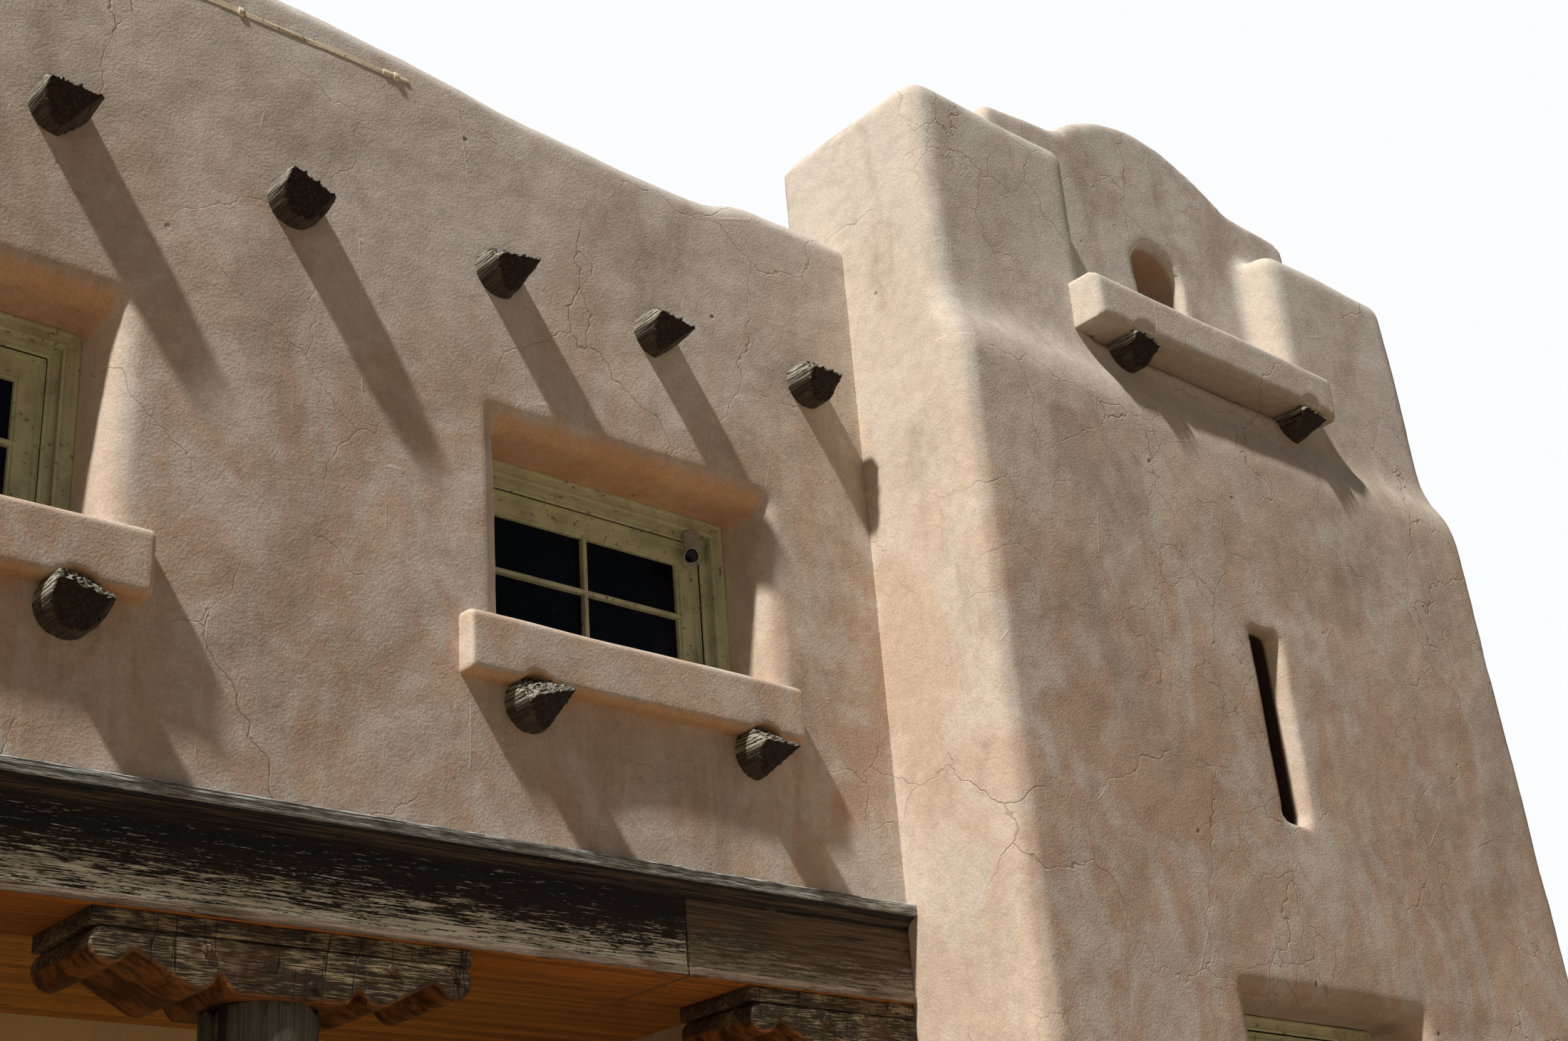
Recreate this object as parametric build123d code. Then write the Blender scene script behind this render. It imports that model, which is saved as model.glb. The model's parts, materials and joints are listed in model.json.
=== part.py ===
from build123d import *
import math
import os

# Adobe house of two storeys: a main block over a portal, and a tower bay at its right end.
# Millimetres. x runs along the front to the right, y goes into the house, z is up.
# The origin is at ground level, under the middle of the free-standing portal post nearest the tower.

# Plan
BAY = 2930  # portal posts, middle to middle, and the windows above them
BAYS_BESIDE_POST = 2  # whole bays to the left of the origin's post
POST_TO_TOWER = 2830  # middle of the origin's post to the tower's side
END_PIER = 1090  # width of the pier that ends the portal on the left
HOUSE_DEPTH = 7000  # main face to back face
WALL = 450  # thickness of the outer walls
PORTAL_DEPTH = 2400  # main face to the portal's back wall
PORTAL_WALL = 300
EDGE_R = 90  # rounding of the plastered parapets and corners

# Levels, each above the one before it
FLOOR_TOP = 150
PORTAL_CLEAR = 3250  # floor to the underside of the portal beam
BEAM_HEIGHT = 400
CEILING_DROP = 150  # portal ceiling below the top of the beam
CEILING_BOARD = 25
UPPER_FLOOR = 250
SILL_ABOVE_BEAM = 840
WINDOW_HEIGHT = 860
VIGA_ABOVE_HEAD = 667  # middle of the roof logs above the window heads
ROOF_THICK = 200
PARAPET_HEIGHT = 513  # above the roof

# The front parapet's wavy line, measured from the tower and from the level of the other parapets
CREST_FROM_TOWER = 3930
CREST_RISE = 150
DIP_FROM_TOWER = 900
DIP_SAG = 7
BUMP_FROM_TOWER = 560
BUMP_RISE = 60
TOWER_END_RISE = 70
CREST_FALL_TURN = 0.65  # where between crest and dip the line turns from round to hollow
INNER_CHAMFER = 45

# Tower
TOWER_PROUD = 670  # tower face in front of the main face
TOWER_FOOT_WIDTH = 4400
PIER_SHARE = 0.2523  # of the tower's foot, taken up by the left pier
GAP_SHARE = 0.382  # and by the gap between the piers
TOWER_BATTER = 0.0547  # run per rise of the right side
TOWER_CORNER_R = 110
TOWER_ROOF_RISE = 143  # tower roof above the main roof
TOWER_ROOF_THICK = 250
SHOULDER_HEIGHT = 450  # from the shoulder's foot to the piers
SHOULDER_SIDE = 48
SHOULDER_FRONT = 100
RIGHT_WALL_TOP_THICK = 350  # the battered wall at its parapet
PIER_DEPTH = 930
LEFT_PIER_HEIGHT = 1095
RIGHT_PIER_HEIGHT = 1140
GABLE_SET_BACK = 200  # behind the piers' faces
GABLE_THICK = 420
GABLE_LEFT_LAP = 365  # how far the gable stands over the left pier
GABLE_RIGHT_LAP = 520
GABLE_END_RISE = 300  # gable's left end above the left pier
GABLE_SHOULDER_RISE = 30  # from the ends to the foot of the dome
GABLE_LEAN = 45  # how much higher the right shoulder is
DOME_RISE = 290
DOME_HALF = 810
DOME_SHIFT = 70
DOME_TURNS = (0.22, 0.08)  # where the dome's left and right sides turn from hollow to round
GABLE_R = 100  # rounding of the gable's ends
GABLE_CHAMFER = 35  # along its front edge
ARCH_WIDTH = 355
ARCH_HEIGHT = 757  # above the ledge it stands on
ARCH_SHIFT = 30
LEDGE_HEIGHT = 255
LEDGE_PROUD = 175
LEDGE_LEFT_LAP = 150  # how far the ledge runs over the left pier's face
LEDGE_RIGHT_LAP = 60
LEDGE_R = 45
LEDGE_STUB_INSETS = (350, 175)  # middles of its stub logs from its ends
LEDGE_STUB_SUNK = 80  # how far they are let into its underside
SLIT_WIDTH = 110
SLIT_MOUTH = 250
SLIT_HEIGHT = 960
SLIT_DROP = 940  # top of the slits below the shoulder
SLIT_PANE_DEPTH = 140
SLIT_FROM_AXIS = 5
SIDE_SLITS = 2  # in each side wall

# Portal timber
BEAM_DEPTH = 450
CAP_PROUD = 60
CAP_BOARD = 50
CAP_COVE = 55
POST_D = 390
POST_SIDES = 24  # hewn flats round a post
END_POST_INSET = 200  # middle of an end post from the masonry beside it
ZAPATA_LENGTH = 1370
ZAPATA_HEIGHT = 230
ZAPATA_INSET = 10  # behind the beam's face
ZAPATA_SEAT = 410  # flat length on the post
ZAPATA_END = 58  # plain end face above the roll
ROLL_R = 65  # outer roll at each end
ROLL_DROP = 112  # middle of the roll below the beam
ROLL_CUSP = 33  # how far the roll's side rises to its cusp
LOBE_R = 68  # inner lobe beside the seat
LOBE_FROM_SEAT = 120

# Roof logs and stub logs
VIGA_D = 220
VIGA_PROUD = 190  # beyond the wall's face
LOG_SIDES = 12  # hewn flats round a log
VIGA_SPACING = 879
VIGA_COUNT = 11
VIGA_FIRST = 2507  # middle of the log nearest the tower
VIGA_DRIFT = (0, 10, 88, 45, 0)  # uneven spacing, repeated along the wall
VIGA_LIFT = (3, -19, 5, -11, 21)
STUB_D = 220
STUB_PROUD = 200
STUB_INSETS = ((300, 210), (310, 255), (295, 230))  # middles of the stubs from the ends of each ledge
STUB_SUNK = 45  # how far they are let into its underside
STUB_BURIED = 260  # how far a stub log reaches behind the wall's face
SEAT_GAP = 0.3

# Windows
WINDOW_WIDTH = 1350
WINDOW_SHIFT = 50  # windows stand this far right of the middle between posts
REVEAL_R = 95
FRAME_DEPTH = 165  # from the casing's face to the wall's inner face
CASING = 62
JAMB = 96
CASING_DEPTH = 45
SASH_BACK = 75  # from the sash's face to the wall's inner face
STILE = 78
SASH_DEPTH = 40
MUNTIN = 28
GLASS = 4
GLASS_LAP = 10
SILL_HEIGHT = 240
SILL_PROUD = 85
SILL_LAP = 135  # ledge beyond each side of its window
SILL_SHIFTS = (-70, 15, 30)  # each ledge's middle from its window's
SILL_DEPTH = 200  # how far the ledge reaches into the wall
SILL_CHAMFER = 16

# Ground storey
LOW_WINDOW_WIDTH = 1200
LOW_SILL_HEIGHT = 900  # above the floor
LOW_WINDOW_HEIGHT = 1600
TOWER_WINDOW_WIDTH = 1300
TOWER_WINDOW_HEIGHT = 2120
WALL_UNDER_SLIT = 850  # between the slit and the window below it
TOWER_WINDOW_SHIFT = 45
DOOR_WIDTH = 1100
DOOR_HEIGHT = 2250
DOOR_FRAME = 90
DOOR_THICK = 60
DOOR_GAP = 3  # on the sides away from the hinges
DOOR_SET_BACK = 120
DOOR_PLANKS = 5
PLANK_GROOVE = 6

# Small fittings
HOUSING_D = 68
HOUSING_LENGTH = 155
HOUSING_DROP = 66  # its top below the window's head
HOUSING_INSET = 69  # its side from the casing
HOUSING_BORE = 50
HOUSING_SIDES = 20
ROD_D = 22
ROD_SIDES = 8
ROD_LENGTH = 1500
ROD_DROP = 60  # below the level of the parapets
ROD_RIGHT_END = 410
ROD_STAND_OFF = 22
ROD_STAND_OFF_INSET = 60

# Lines that several pieces share
face_y = -BEAM_DEPTH / 2
back_y = face_y + HOUSE_DEPTH
inner_front = face_y + WALL
inner_back = back_y - WALL
left_x = -BAYS_BESIDE_POST * BAY - END_PIER
pier_x = left_x + END_PIER
inner_left = left_x + WALL
tower_x = POST_TO_TOWER
tower_foot_x = tower_x + TOWER_FOOT_WIDTH
tower_y = face_y - TOWER_PROUD
tower_back = tower_y + WALL
pier_y = tower_y + SHOULDER_FRONT
left_pier_end = tower_x + PIER_SHARE * TOWER_FOOT_WIDTH
right_pier_start = left_pier_end + GAP_SHARE * TOWER_FOOT_WIDTH
tower_axis = (left_pier_end + right_pier_start) / 2
gable_y = pier_y + GABLE_SET_BACK
portal_y = face_y + PORTAL_DEPTH
portal_back = portal_y + PORTAL_WALL

# Levels above the ground
soffit = FLOOR_TOP + PORTAL_CLEAR
wall_foot = soffit + BEAM_HEIGHT
ceiling = wall_foot - CEILING_DROP
window_sill = wall_foot + SILL_ABOVE_BEAM
window_head = window_sill + WINDOW_HEIGHT
viga_z = window_head + VIGA_ABOVE_HEAD
roof_under = viga_z + VIGA_D / 2
roof_top = roof_under + ROOF_THICK
parapet_z = roof_top + PARAPET_HEIGHT
shoulder_top = roof_top + TOWER_ROOF_RISE
shoulder_foot = shoulder_top - SHOULDER_HEIGHT
left_pier_top = shoulder_top + LEFT_PIER_HEIGHT
right_pier_top = shoulder_top + RIGHT_PIER_HEIGHT
slit_top = shoulder_foot - SLIT_DROP
slit_bottom = slit_top - SLIT_HEIGHT
tower_window_head = slit_bottom - WALL_UNDER_SLIT
tower_window_sill = tower_window_head - TOWER_WINDOW_HEIGHT
low_sill = FLOOR_TOP + LOW_SILL_HEIGHT
low_head = low_sill + LOW_WINDOW_HEIGHT
above_all = right_pier_top + 500


def batter_x(z):
    """The tower's right face at a height, with the step in at the shoulder."""
    step = 0 if z <= shoulder_foot else SHOULDER_SIDE
    return tower_foot_x - TOWER_BATTER * z - step


right_inner = batter_x(parapet_z) - RIGHT_WALL_TOP_THICK


def block(x0, x1, y0, y1, z0, z1):
    """A box from its lowest corner to its highest."""
    corner = (Align.MIN, Align.MIN, Align.MIN)
    return Pos(x0, y0, z0) * Box(x1 - x0, y1 - y0, z1 - z0, align=corner)


def along_y(face_xz, y0, y1):
    """A face drawn in the x-z plane at y = 0, carried from y0 to y1."""
    return Pos(0, y0, 0) * extrude(face_xz, amount=y1 - y0, dir=(0, 1, 0))


def plan_point(x, z):
    return Vector(x, 0, z)


def outline_face(*edges):
    return make_face(Wire(list(edges)))


def s_curve(start, end, along, turn=0.5):
    """Two arcs that leave both ends in one direction, and meet at a share of the way."""
    joint = start + (end - start) * turn
    return [TangentArc(start, joint, tangent=along), TangentArc(end, joint, tangent=-along)]


def log_y(x, y0, y1, z, diameter):
    """A hewn log lying along y."""
    turned = Pos(x, y0, z) * Rot(-90, 0, 0)
    return turned * extrude(RegularPolygon(diameter / 2, LOG_SIDES), amount=y1 - y0)


def rod_y(x, y0, y1, z, diameter):
    """A round rod lying along y."""
    turned = Pos(x, y0, z) * Rot(-90, 0, 0)
    return turned * Cylinder(diameter / 2, y1 - y0, align=(Align.CENTER, Align.CENTER, Align.MIN))


def picked(solid, wanted):
    """The edges that a test picks."""
    return [edge for edge in solid.edges() if wanted(edge)]


def near(value, target):
    return abs(value - target) < 1


# Windows and doors are drawn in an opening's own frame: x across, y into the wall from its face, z up.
def ring(width, z0, z1, member, y0, y1):
    """A rectangular frame of one member's width."""
    outer = block(-width / 2, width / 2, y0, y1, z0, z1)
    half = width / 2 - member
    return outer - block(-half, half, y0 - 1, y1 + 1, z0 + member, z1 - member)


def window_frame(width, z0, z1, wall=WALL):
    """Casing and jamb in one, with a step between them."""
    step = wall - FRAME_DEPTH + CASING_DEPTH
    casing = ring(width, z0, z1, CASING, wall - FRAME_DEPTH, step)
    jamb = ring(width, z0, z1, JAMB, step, wall)
    return (casing + jamb).clean()


def window_sash(width, z0, z1, across, up, wall=WALL):
    """The sash with its glazing bars."""
    gap = JAMB + SEAT_GAP
    y0 = wall - SASH_BACK
    y1 = y0 + SASH_DEPTH
    sash = ring(width - 2 * gap, z0 + gap, z1 - gap, STILE, y0, y1)
    half = width / 2 - gap - STILE
    low, high = z0 + gap + STILE, z1 - gap - STILE
    for i in range(1, across):
        x = -half + 2 * half * i / across
        sash += block(x - MUNTIN / 2, x + MUNTIN / 2, y0, y1, low, high)
    for i in range(1, up):
        z = low + (high - low) * i / up
        sash += block(-half, half, y0, y1, z - MUNTIN / 2, z + MUNTIN / 2)
    return sash


def window_glass(width, z0, z1, wall=WALL):
    """One sheet against the back of the sash."""
    edge = JAMB + SEAT_GAP + STILE - GLASS_LAP
    y0 = wall - SASH_BACK + SASH_DEPTH
    return block(-width / 2 + edge, width / 2 - edge, y0, y0 + GLASS, z0 + edge, z1 - edge)


def sill_block(width, z):
    """The plastered ledge under a window, with eased edges in front."""
    half = width / 2 + SILL_LAP
    ledge = block(-half, half, -SILL_PROUD, SILL_DEPTH, z - SILL_HEIGHT, z)
    front = picked(ledge, lambda edge: near(edge.center().Y, -SILL_PROUD) and edge.length > SILL_HEIGHT + 1)
    return chamfer(front, SILL_CHAMFER)


def sill_places(places):
    """Ledges sit a little off their windows' middles."""
    return [place * Pos(SILL_SHIFTS[i % len(SILL_SHIFTS)], 0, 0) for i, place in enumerate(places)]


def opening(width, z0, z1):
    return block(-width / 2, width / 2, -1, WALL + 1, z0, z1)


def flared_opening(width, z0, z1):
    """A hole through the wall, rounded at the jambs and head where it meets the face."""
    hole = opening(width, z0, z1)
    flare = block(-width / 2 - REVEAL_R, width / 2 + REVEAL_R, -REVEAL_R, REVEAL_R, z0, z1 + REVEAL_R)
    for side in (-1, 1):
        x = side * (width / 2 + REVEAL_R)
        flare -= Pos(x, REVEAL_R, (z0 + z1) / 2) * Cylinder(REVEAL_R, 2 * (z1 - z0))
    head = Pos(0, REVEAL_R, z1 + REVEAL_R) * Rot(0, 90, 0) * Cylinder(REVEAL_R, 2 * width)
    return hole + (flare - head)


def splayed_opening(width, z0, z1):
    """A hole through the wall, cut back flat at the jambs and head where it meets the face."""
    half, mouth, top = width / 2, width / 2 + REVEAL_R, z1 + REVEAL_R
    plan = [(-mouth, 0, z0), (mouth, 0, z0), (half, REVEAL_R, z0), (-half, REVEAL_R, z0)]
    side = [(-mouth, 0, z0), (-mouth, 0, top), (-mouth, REVEAL_R, z1), (-mouth, REVEAL_R, z0)]
    jambs = extrude(make_face(Polyline(*plan, close=True)), amount=top - z0, dir=(0, 0, 1))
    head = extrude(make_face(Polyline(*side, close=True)), amount=2 * mouth, dir=(1, 0, 0))
    return opening(width, z0, z1) + (jambs & head)


def slit_hole(wall):
    """A narrow slot, splayed towards the face on both sides."""
    half, mouth = SLIT_WIDTH / 2, SLIT_MOUTH / 2
    slot = block(-half, half, -1, wall + 1, slit_bottom, slit_top)
    points = [(-mouth, 0), (mouth, 0), (half, mouth), (-half, mouth)]
    splay = make_face(Polyline(*[Vector(x, y, slit_bottom) for x, y in points], close=True))
    return slot + extrude(splay, amount=SLIT_HEIGHT, dir=(0, 0, 1))


def slit_pane():
    half = SLIT_WIDTH / 2 - SEAT_GAP
    y = SLIT_PANE_DEPTH
    return block(-half, half, y, y + GLASS, slit_bottom + SEAT_GAP, slit_top - SEAT_GAP)


def front_slit_place():
    return Pos(tower_axis - SLIT_FROM_AXIS, tower_y, 0)


def side_slit_places(x, turn):
    """Evenly spaced along a side wall."""
    step = HOUSE_DEPTH / (SIDE_SLITS + 1)
    return [Pos(x, face_y + step * (i + 1), 0) * Rot(0, 0, turn) for i in range(SIDE_SLITS)]


def left_slit_places():
    return side_slit_places(left_x, -90)


def right_slit_places():
    return side_slit_places(batter_x(slit_bottom), 90)


def front_window_places():
    middles = [BAY / 2 + WINDOW_SHIFT - i * BAY for i in range(BAYS_BESIDE_POST + 1)]
    return [Pos(x, face_y, 0) for x in middles]


def back_window_places():
    """Opposite the front windows, and one behind the tower."""
    middles = [tower_x + left_x - place.position.X for place in front_window_places()]
    return [Pos(x, back_y, 0) * Rot(0, 0, 180) for x in (*middles, tower_axis)]


def tower_window_place():
    return Pos(tower_axis + TOWER_WINDOW_SHIFT, tower_y, 0)


def portal_window_places():
    places = front_window_places()
    return [Pos(places[i].position.X, portal_y, 0) for i in (0, -1)]


def door_place():
    return Pos(front_window_places()[1].position.X, portal_y, 0)


def viga_places():
    """Middles of the roof logs, from the tower to the left, uneven as they were laid."""
    places = []
    for i in range(VIGA_COUNT):
        x = VIGA_FIRST - i * VIGA_SPACING + VIGA_DRIFT[i % len(VIGA_DRIFT)]
        places.append((x, viga_z + VIGA_LIFT[i % len(VIGA_LIFT)]))
    return places


def parapet_outline():
    """The upper front wall seen from the front, with its hand-shaped parapet line."""
    along = Vector(1, 0, 0)
    corner = plan_point(left_x, parapet_z)
    level_end = plan_point(inner_left + EDGE_R, parapet_z)
    crest = plan_point(tower_x - CREST_FROM_TOWER, parapet_z + CREST_RISE)
    dip = plan_point(tower_x - DIP_FROM_TOWER, parapet_z - DIP_SAG)
    bump = plan_point(tower_x - BUMP_FROM_TOWER, parapet_z + BUMP_RISE)
    end = plan_point(tower_x, parapet_z + TOWER_END_RISE)
    top = [Line(corner, level_end), *s_curve(level_end, crest, along)]
    top += s_curve(crest, dip, along, CREST_FALL_TURN)
    top += s_curve(dip, bump, along)
    top += s_curve(bump, end, along)
    rest = Polyline(end, plan_point(tower_x, wall_foot), plan_point(left_x, wall_foot), corner)
    return outline_face(*top, *rest.edges())


def outer_top(edge):
    """Top edges of the outer walls, on the outside."""
    middle = edge.center()
    front = near(middle.Y, face_y) and middle.X < tower_x
    right = middle.X > batter_x(parapet_z) - 1
    return middle.Z > viga_z and (front or right or near(middle.Y, back_y) or near(middle.X, left_x))


def outer_corner(edge):
    """Upright corners of the outer walls."""
    middle = edge.center()
    back = near(middle.Y, back_y) and not left_x + 1 < middle.X < batter_x(parapet_z) - 1
    front = near(middle.Y, face_y) and (near(middle.X, left_x) or near(middle.X, pier_x))
    return 1 < middle.Z < parapet_z - 1 and (back or front)


def inner_top(edge):
    """Top edges of the outer walls, towards the roof."""
    middle = edge.center()
    along_front = near(middle.Y, inner_front) and inner_left < middle.X < tower_x
    across = near(middle.X, inner_left) or near(middle.X, right_inner)
    return middle.Z > viga_z and (along_front or near(middle.Y, inner_back) or across)


def wall_shell():
    """The outer walls in one, so that their rounded tops and corners run into each other."""
    shell = along_y(parapet_outline(), face_y, inner_front)
    shell += block(left_x, pier_x, face_y, inner_front, 0, wall_foot)
    shell += block(left_x, inner_left, face_y, back_y, 0, parapet_z)
    shell += block(left_x, batter_x(0), inner_back, back_y, 0, parapet_z)
    shell += block(right_inner, batter_x(0), tower_back, back_y, 0, parapet_z)
    shell = (shell & right_mass()).clean()
    shell = chamfer(picked(shell, inner_top), INNER_CHAMFER)
    return fillet(picked(shell, lambda edge: outer_top(edge) or outer_corner(edge)), EDGE_R)


def front_wall(shell):
    wall = shell & block(left_x - 1, tower_x, face_y - 1, inner_front, wall_foot, above_all)
    for place in front_window_places():
        wall -= place * flared_opening(WINDOW_WIDTH, window_sill, window_head)
    for x, z in viga_places():
        wall -= log_y(x, face_y - 1, inner_front + 1, z, VIGA_D + 2 * SEAT_GAP)
    return wall


def back_wall(shell):
    wall = shell & block(left_x - 1, batter_x(0), inner_back, back_y + 1, 0, above_all)
    for place in back_window_places():
        wall -= place * splayed_opening(WINDOW_WIDTH, window_sill, window_head)
        wall -= place * opening(LOW_WINDOW_WIDTH, low_sill, low_head)
    for x, z in viga_places():
        wall -= log_y(x, inner_back - 1, back_y + 1, z, VIGA_D + 2 * SEAT_GAP)
    return wall


def left_wall(shell):
    wall = shell & block(left_x - 1, inner_left, inner_front, inner_back, 0, above_all)
    for place in left_slit_places():
        wall -= place * slit_hole(WALL)
    return wall


def right_wall(shell):
    wall = shell & block(right_inner - 1, batter_x(0), tower_back, inner_back, 0, above_all)
    wall -= pier_block(right_pier_start, batter_x(shoulder_top), right_pier_top)
    for place in right_slit_places():
        wall -= place * slit_hole(batter_x(slit_bottom) - right_inner)
    return wall


def end_pier(shell):
    return shell & block(left_x - 1, pier_x, face_y - 1, inner_front, 0, wall_foot)


def side_line(top):
    """The tower's right face from the ground to a height, stepping in at the shoulder."""
    foot = plan_point(batter_x(0), 0)
    low = plan_point(batter_x(shoulder_foot), shoulder_foot)
    high = plan_point(batter_x(shoulder_top), shoulder_top)
    lean = Vector(-TOWER_BATTER, 0, 1)
    return [Line(foot, low), *s_curve(low, high, lean), Line(high, plan_point(batter_x(top), top))]


def right_mass():
    """Everything to the left of the battered right face."""
    top, far = above_all, left_x - 10
    high, foot = plan_point(batter_x(top), top), plan_point(batter_x(0), 0)
    rest = Polyline(high, plan_point(far, top), plan_point(far, 0), foot)
    return along_y(outline_face(*side_line(top), *rest.edges()), tower_y - 10, back_y + 10)


def portal_wall():
    wall = block(inner_left, tower_x, portal_y, portal_back, 0, ceiling)
    for place in portal_window_places():
        wall -= place * opening(LOW_WINDOW_WIDTH, low_sill, low_head)
    return wall - door_place() * opening(DOOR_WIDTH, FLOOR_TOP, FLOOR_TOP + DOOR_HEIGHT)


def front_mass():
    """Everything behind the tower's face, which steps in at the shoulder."""
    low = Vector(0, tower_y, shoulder_foot)
    high = Vector(0, pier_y, shoulder_top)
    edges = [Line((0, tower_y, 0), low), *s_curve(low, high, Vector(0, 0, 1))]
    edges += Polyline(high, (0, inner_front, shoulder_top), (0, inner_front, 0), (0, tower_y, 0)).edges()
    return Pos(tower_x, 0, 0) * extrude(outline_face(*edges), amount=TOWER_FOOT_WIDTH + 10, dir=(1, 0, 0))


def tower_front_wall():
    wall = block(tower_x, batter_x(0), tower_y, tower_back, 0, shoulder_top) & right_mass() & front_mass()
    wall = fillet(picked(wall, tower_corner), TOWER_CORNER_R)
    wall -= tower_window_place() * flared_opening(TOWER_WINDOW_WIDTH, tower_window_sill, tower_window_head)
    return wall - front_slit_place() * slit_hole(WALL)


def tower_corner(edge):
    """Upright corners of the tower's face."""
    middle = edge.center()
    at_side = near(middle.X, tower_x) or middle.X > batter_x(shoulder_top) - 1
    return 1 < middle.Z < shoulder_top - 1 and at_side and middle.Y < pier_y + 1


def pier_block(x0, x1, top):
    return block(x0, x1, pier_y, pier_y + PIER_DEPTH, shoulder_top, top)


def soft_pier(pier, top):
    """Rounds a pier's front corners as the tower's below them, and then its top."""
    upright = (shoulder_top + top) / 2
    corners = picked(pier, lambda edge: near(edge.center().Y, pier_y) and near(edge.center().Z, upright))
    pier = fillet(corners, TOWER_CORNER_R)
    return fillet(picked(pier, lambda edge: near(edge.center().Z, top)), EDGE_R)


def tower_left_pier():
    return soft_pier(pier_block(tower_x, left_pier_end, left_pier_top), left_pier_top)


def tower_right_pier():
    pier = pier_block(right_pier_start, batter_x(0), right_pier_top) & right_mass()
    return soft_pier(pier, right_pier_top)


def gable_outline():
    """Stepped and domed, with its ends standing over the piers."""
    along = Vector(1, 0, 0)
    end_z = left_pier_top + GABLE_END_RISE
    foot_z = end_z + GABLE_SHOULDER_RISE
    middle = tower_axis + DOME_SHIFT
    left = plan_point(left_pier_end - GABLE_LEFT_LAP, end_z)
    right = plan_point(right_pier_start + GABLE_RIGHT_LAP, end_z + GABLE_LEAN)
    dome_left = plan_point(middle - DOME_HALF, foot_z)
    dome_right = plan_point(middle + DOME_HALF, foot_z + GABLE_LEAN)
    peak = plan_point(middle, foot_z + DOME_RISE)
    left_turn, right_turn = DOME_TURNS
    top = [Line(left, dome_left), *s_curve(dome_left, peak, along, left_turn)]
    top += [*s_curve(dome_right, peak, -along, right_turn), Line(dome_right, right)]
    rest = Polyline(right, plan_point(right.X, shoulder_top), plan_point(left.X, shoulder_top), left)
    return outline_face(*top, *rest.edges())


def gable_wall():
    gable = along_y(gable_outline(), gable_y, gable_y + GABLE_THICK)
    ends = picked(gable, lambda edge: near(edge.length, GABLE_THICK) and edge.center().Z > left_pier_top
                  and not left_pier_end < edge.center().X < right_pier_start)
    gable = fillet(ends, GABLE_R)
    above_pier = left_pier_top + GABLE_R
    front_top = picked(gable, lambda edge: near(edge.center().Y, gable_y) and edge.center().Z > above_pier)
    gable = chamfer(front_top, GABLE_CHAMFER) - arch_hole()
    gable -= pier_block(tower_x, left_pier_end, left_pier_top)
    return gable - pier_block(right_pier_start, batter_x(0), right_pier_top)


def arch_hole():
    """A round-headed opening that stands on the ledge."""
    radius = ARCH_WIDTH / 2
    foot = shoulder_top + LEDGE_HEIGHT
    crown = foot + ARCH_HEIGHT - radius
    x = tower_axis + ARCH_SHIFT
    y0, y1 = gable_y - 1, gable_y + GABLE_THICK + 1
    hole = block(x - radius, x + radius, y0, y1, foot, crown)
    return hole + rod_y(x, y0, y1, crown, ARCH_WIDTH)


def ledge_ends():
    return left_pier_end - LEDGE_LEFT_LAP, right_pier_start + LEDGE_RIGHT_LAP


def tower_ledge():
    """The plastered ledge across the gap between the piers."""
    left, right = ledge_ends()
    front = pier_y - LEDGE_PROUD
    ledge = block(left, right, front, gable_y, shoulder_top, shoulder_top + LEDGE_HEIGHT)
    ledge = fillet(picked(ledge, lambda edge: near(edge.center().Y, front)), LEDGE_R)
    ledge -= pier_block(tower_x, left_pier_end, left_pier_top)
    ledge -= pier_block(right_pier_start, batter_x(0), right_pier_top)
    for stub in ledge_stubs(STUB_D + 2 * SEAT_GAP):
        ledge -= stub
    return ledge


def ledge_stubs(diameter):
    """Two logs under the tower's ledge, let into its underside and the masonry."""
    left, right = ledge_ends()
    inset_left, inset_right = LEDGE_STUB_INSETS
    z = shoulder_top + LEDGE_STUB_SUNK - STUB_D / 2
    return [log_y(x, pier_y - STUB_PROUD, tower_back - 1, z, diameter)
            for x in (left + inset_left, right - inset_right)]


def ledge_vigas(wall):
    """The stub logs of the tower's ledge, where they stand outside the masonry."""
    masonry = wall + pier_block(tower_x, left_pier_end, left_pier_top)
    masonry += pier_block(right_pier_start, batter_x(0), right_pier_top)
    gable_back = gable_y + GABLE_THICK
    masonry += block(left_pier_end, right_pier_start, gable_y, gable_back, shoulder_top, left_pier_top)
    cut = [stub - masonry for stub in ledge_stubs(STUB_D)]
    return Compound(children=[stub.solids().sort_by(Axis.Y)[0] for stub in cut])


def tower_left_wall():
    return block(tower_x, tower_x + WALL, tower_back, inner_back, 0, shoulder_top)


def ground_floor():
    """Slabs under the portal, the room behind it and the tower."""
    portal = block(inner_left, tower_x, face_y, portal_y, 0, FLOOR_TOP)
    portal -= block(left_x, pier_x, face_y - 1, inner_front, -1, FLOOR_TOP + 1)
    room = block(inner_left, tower_x, portal_back, inner_back, 0, FLOOR_TOP)
    tower = block(tower_x + WALL, right_inner, tower_back, inner_back, 0, FLOOR_TOP)
    return Compound(children=[portal, room, tower])


def upper_floor():
    main = block(inner_left, tower_x, inner_front, inner_back, ceiling, ceiling + UPPER_FLOOR)
    tower = block(tower_x + WALL, right_inner, tower_back, inner_back, ceiling, ceiling + UPPER_FLOOR)
    return Compound(children=[main, tower])


def portal_ceiling():
    return block(inner_left, tower_x, inner_front, portal_y, ceiling - CEILING_BOARD, ceiling)


def roof_deck():
    main = block(inner_left, tower_x, inner_front, inner_back, roof_under, roof_top)
    for x, z in viga_places():
        main -= log_y(x, inner_front - 1, inner_back + 1, z, VIGA_D + 2 * SEAT_GAP)
    under = shoulder_top - TOWER_ROOF_THICK
    tower = block(tower_x + WALL, right_inner, tower_back, inner_back, under, shoulder_top)
    return Compound(children=[main, tower])


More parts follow.
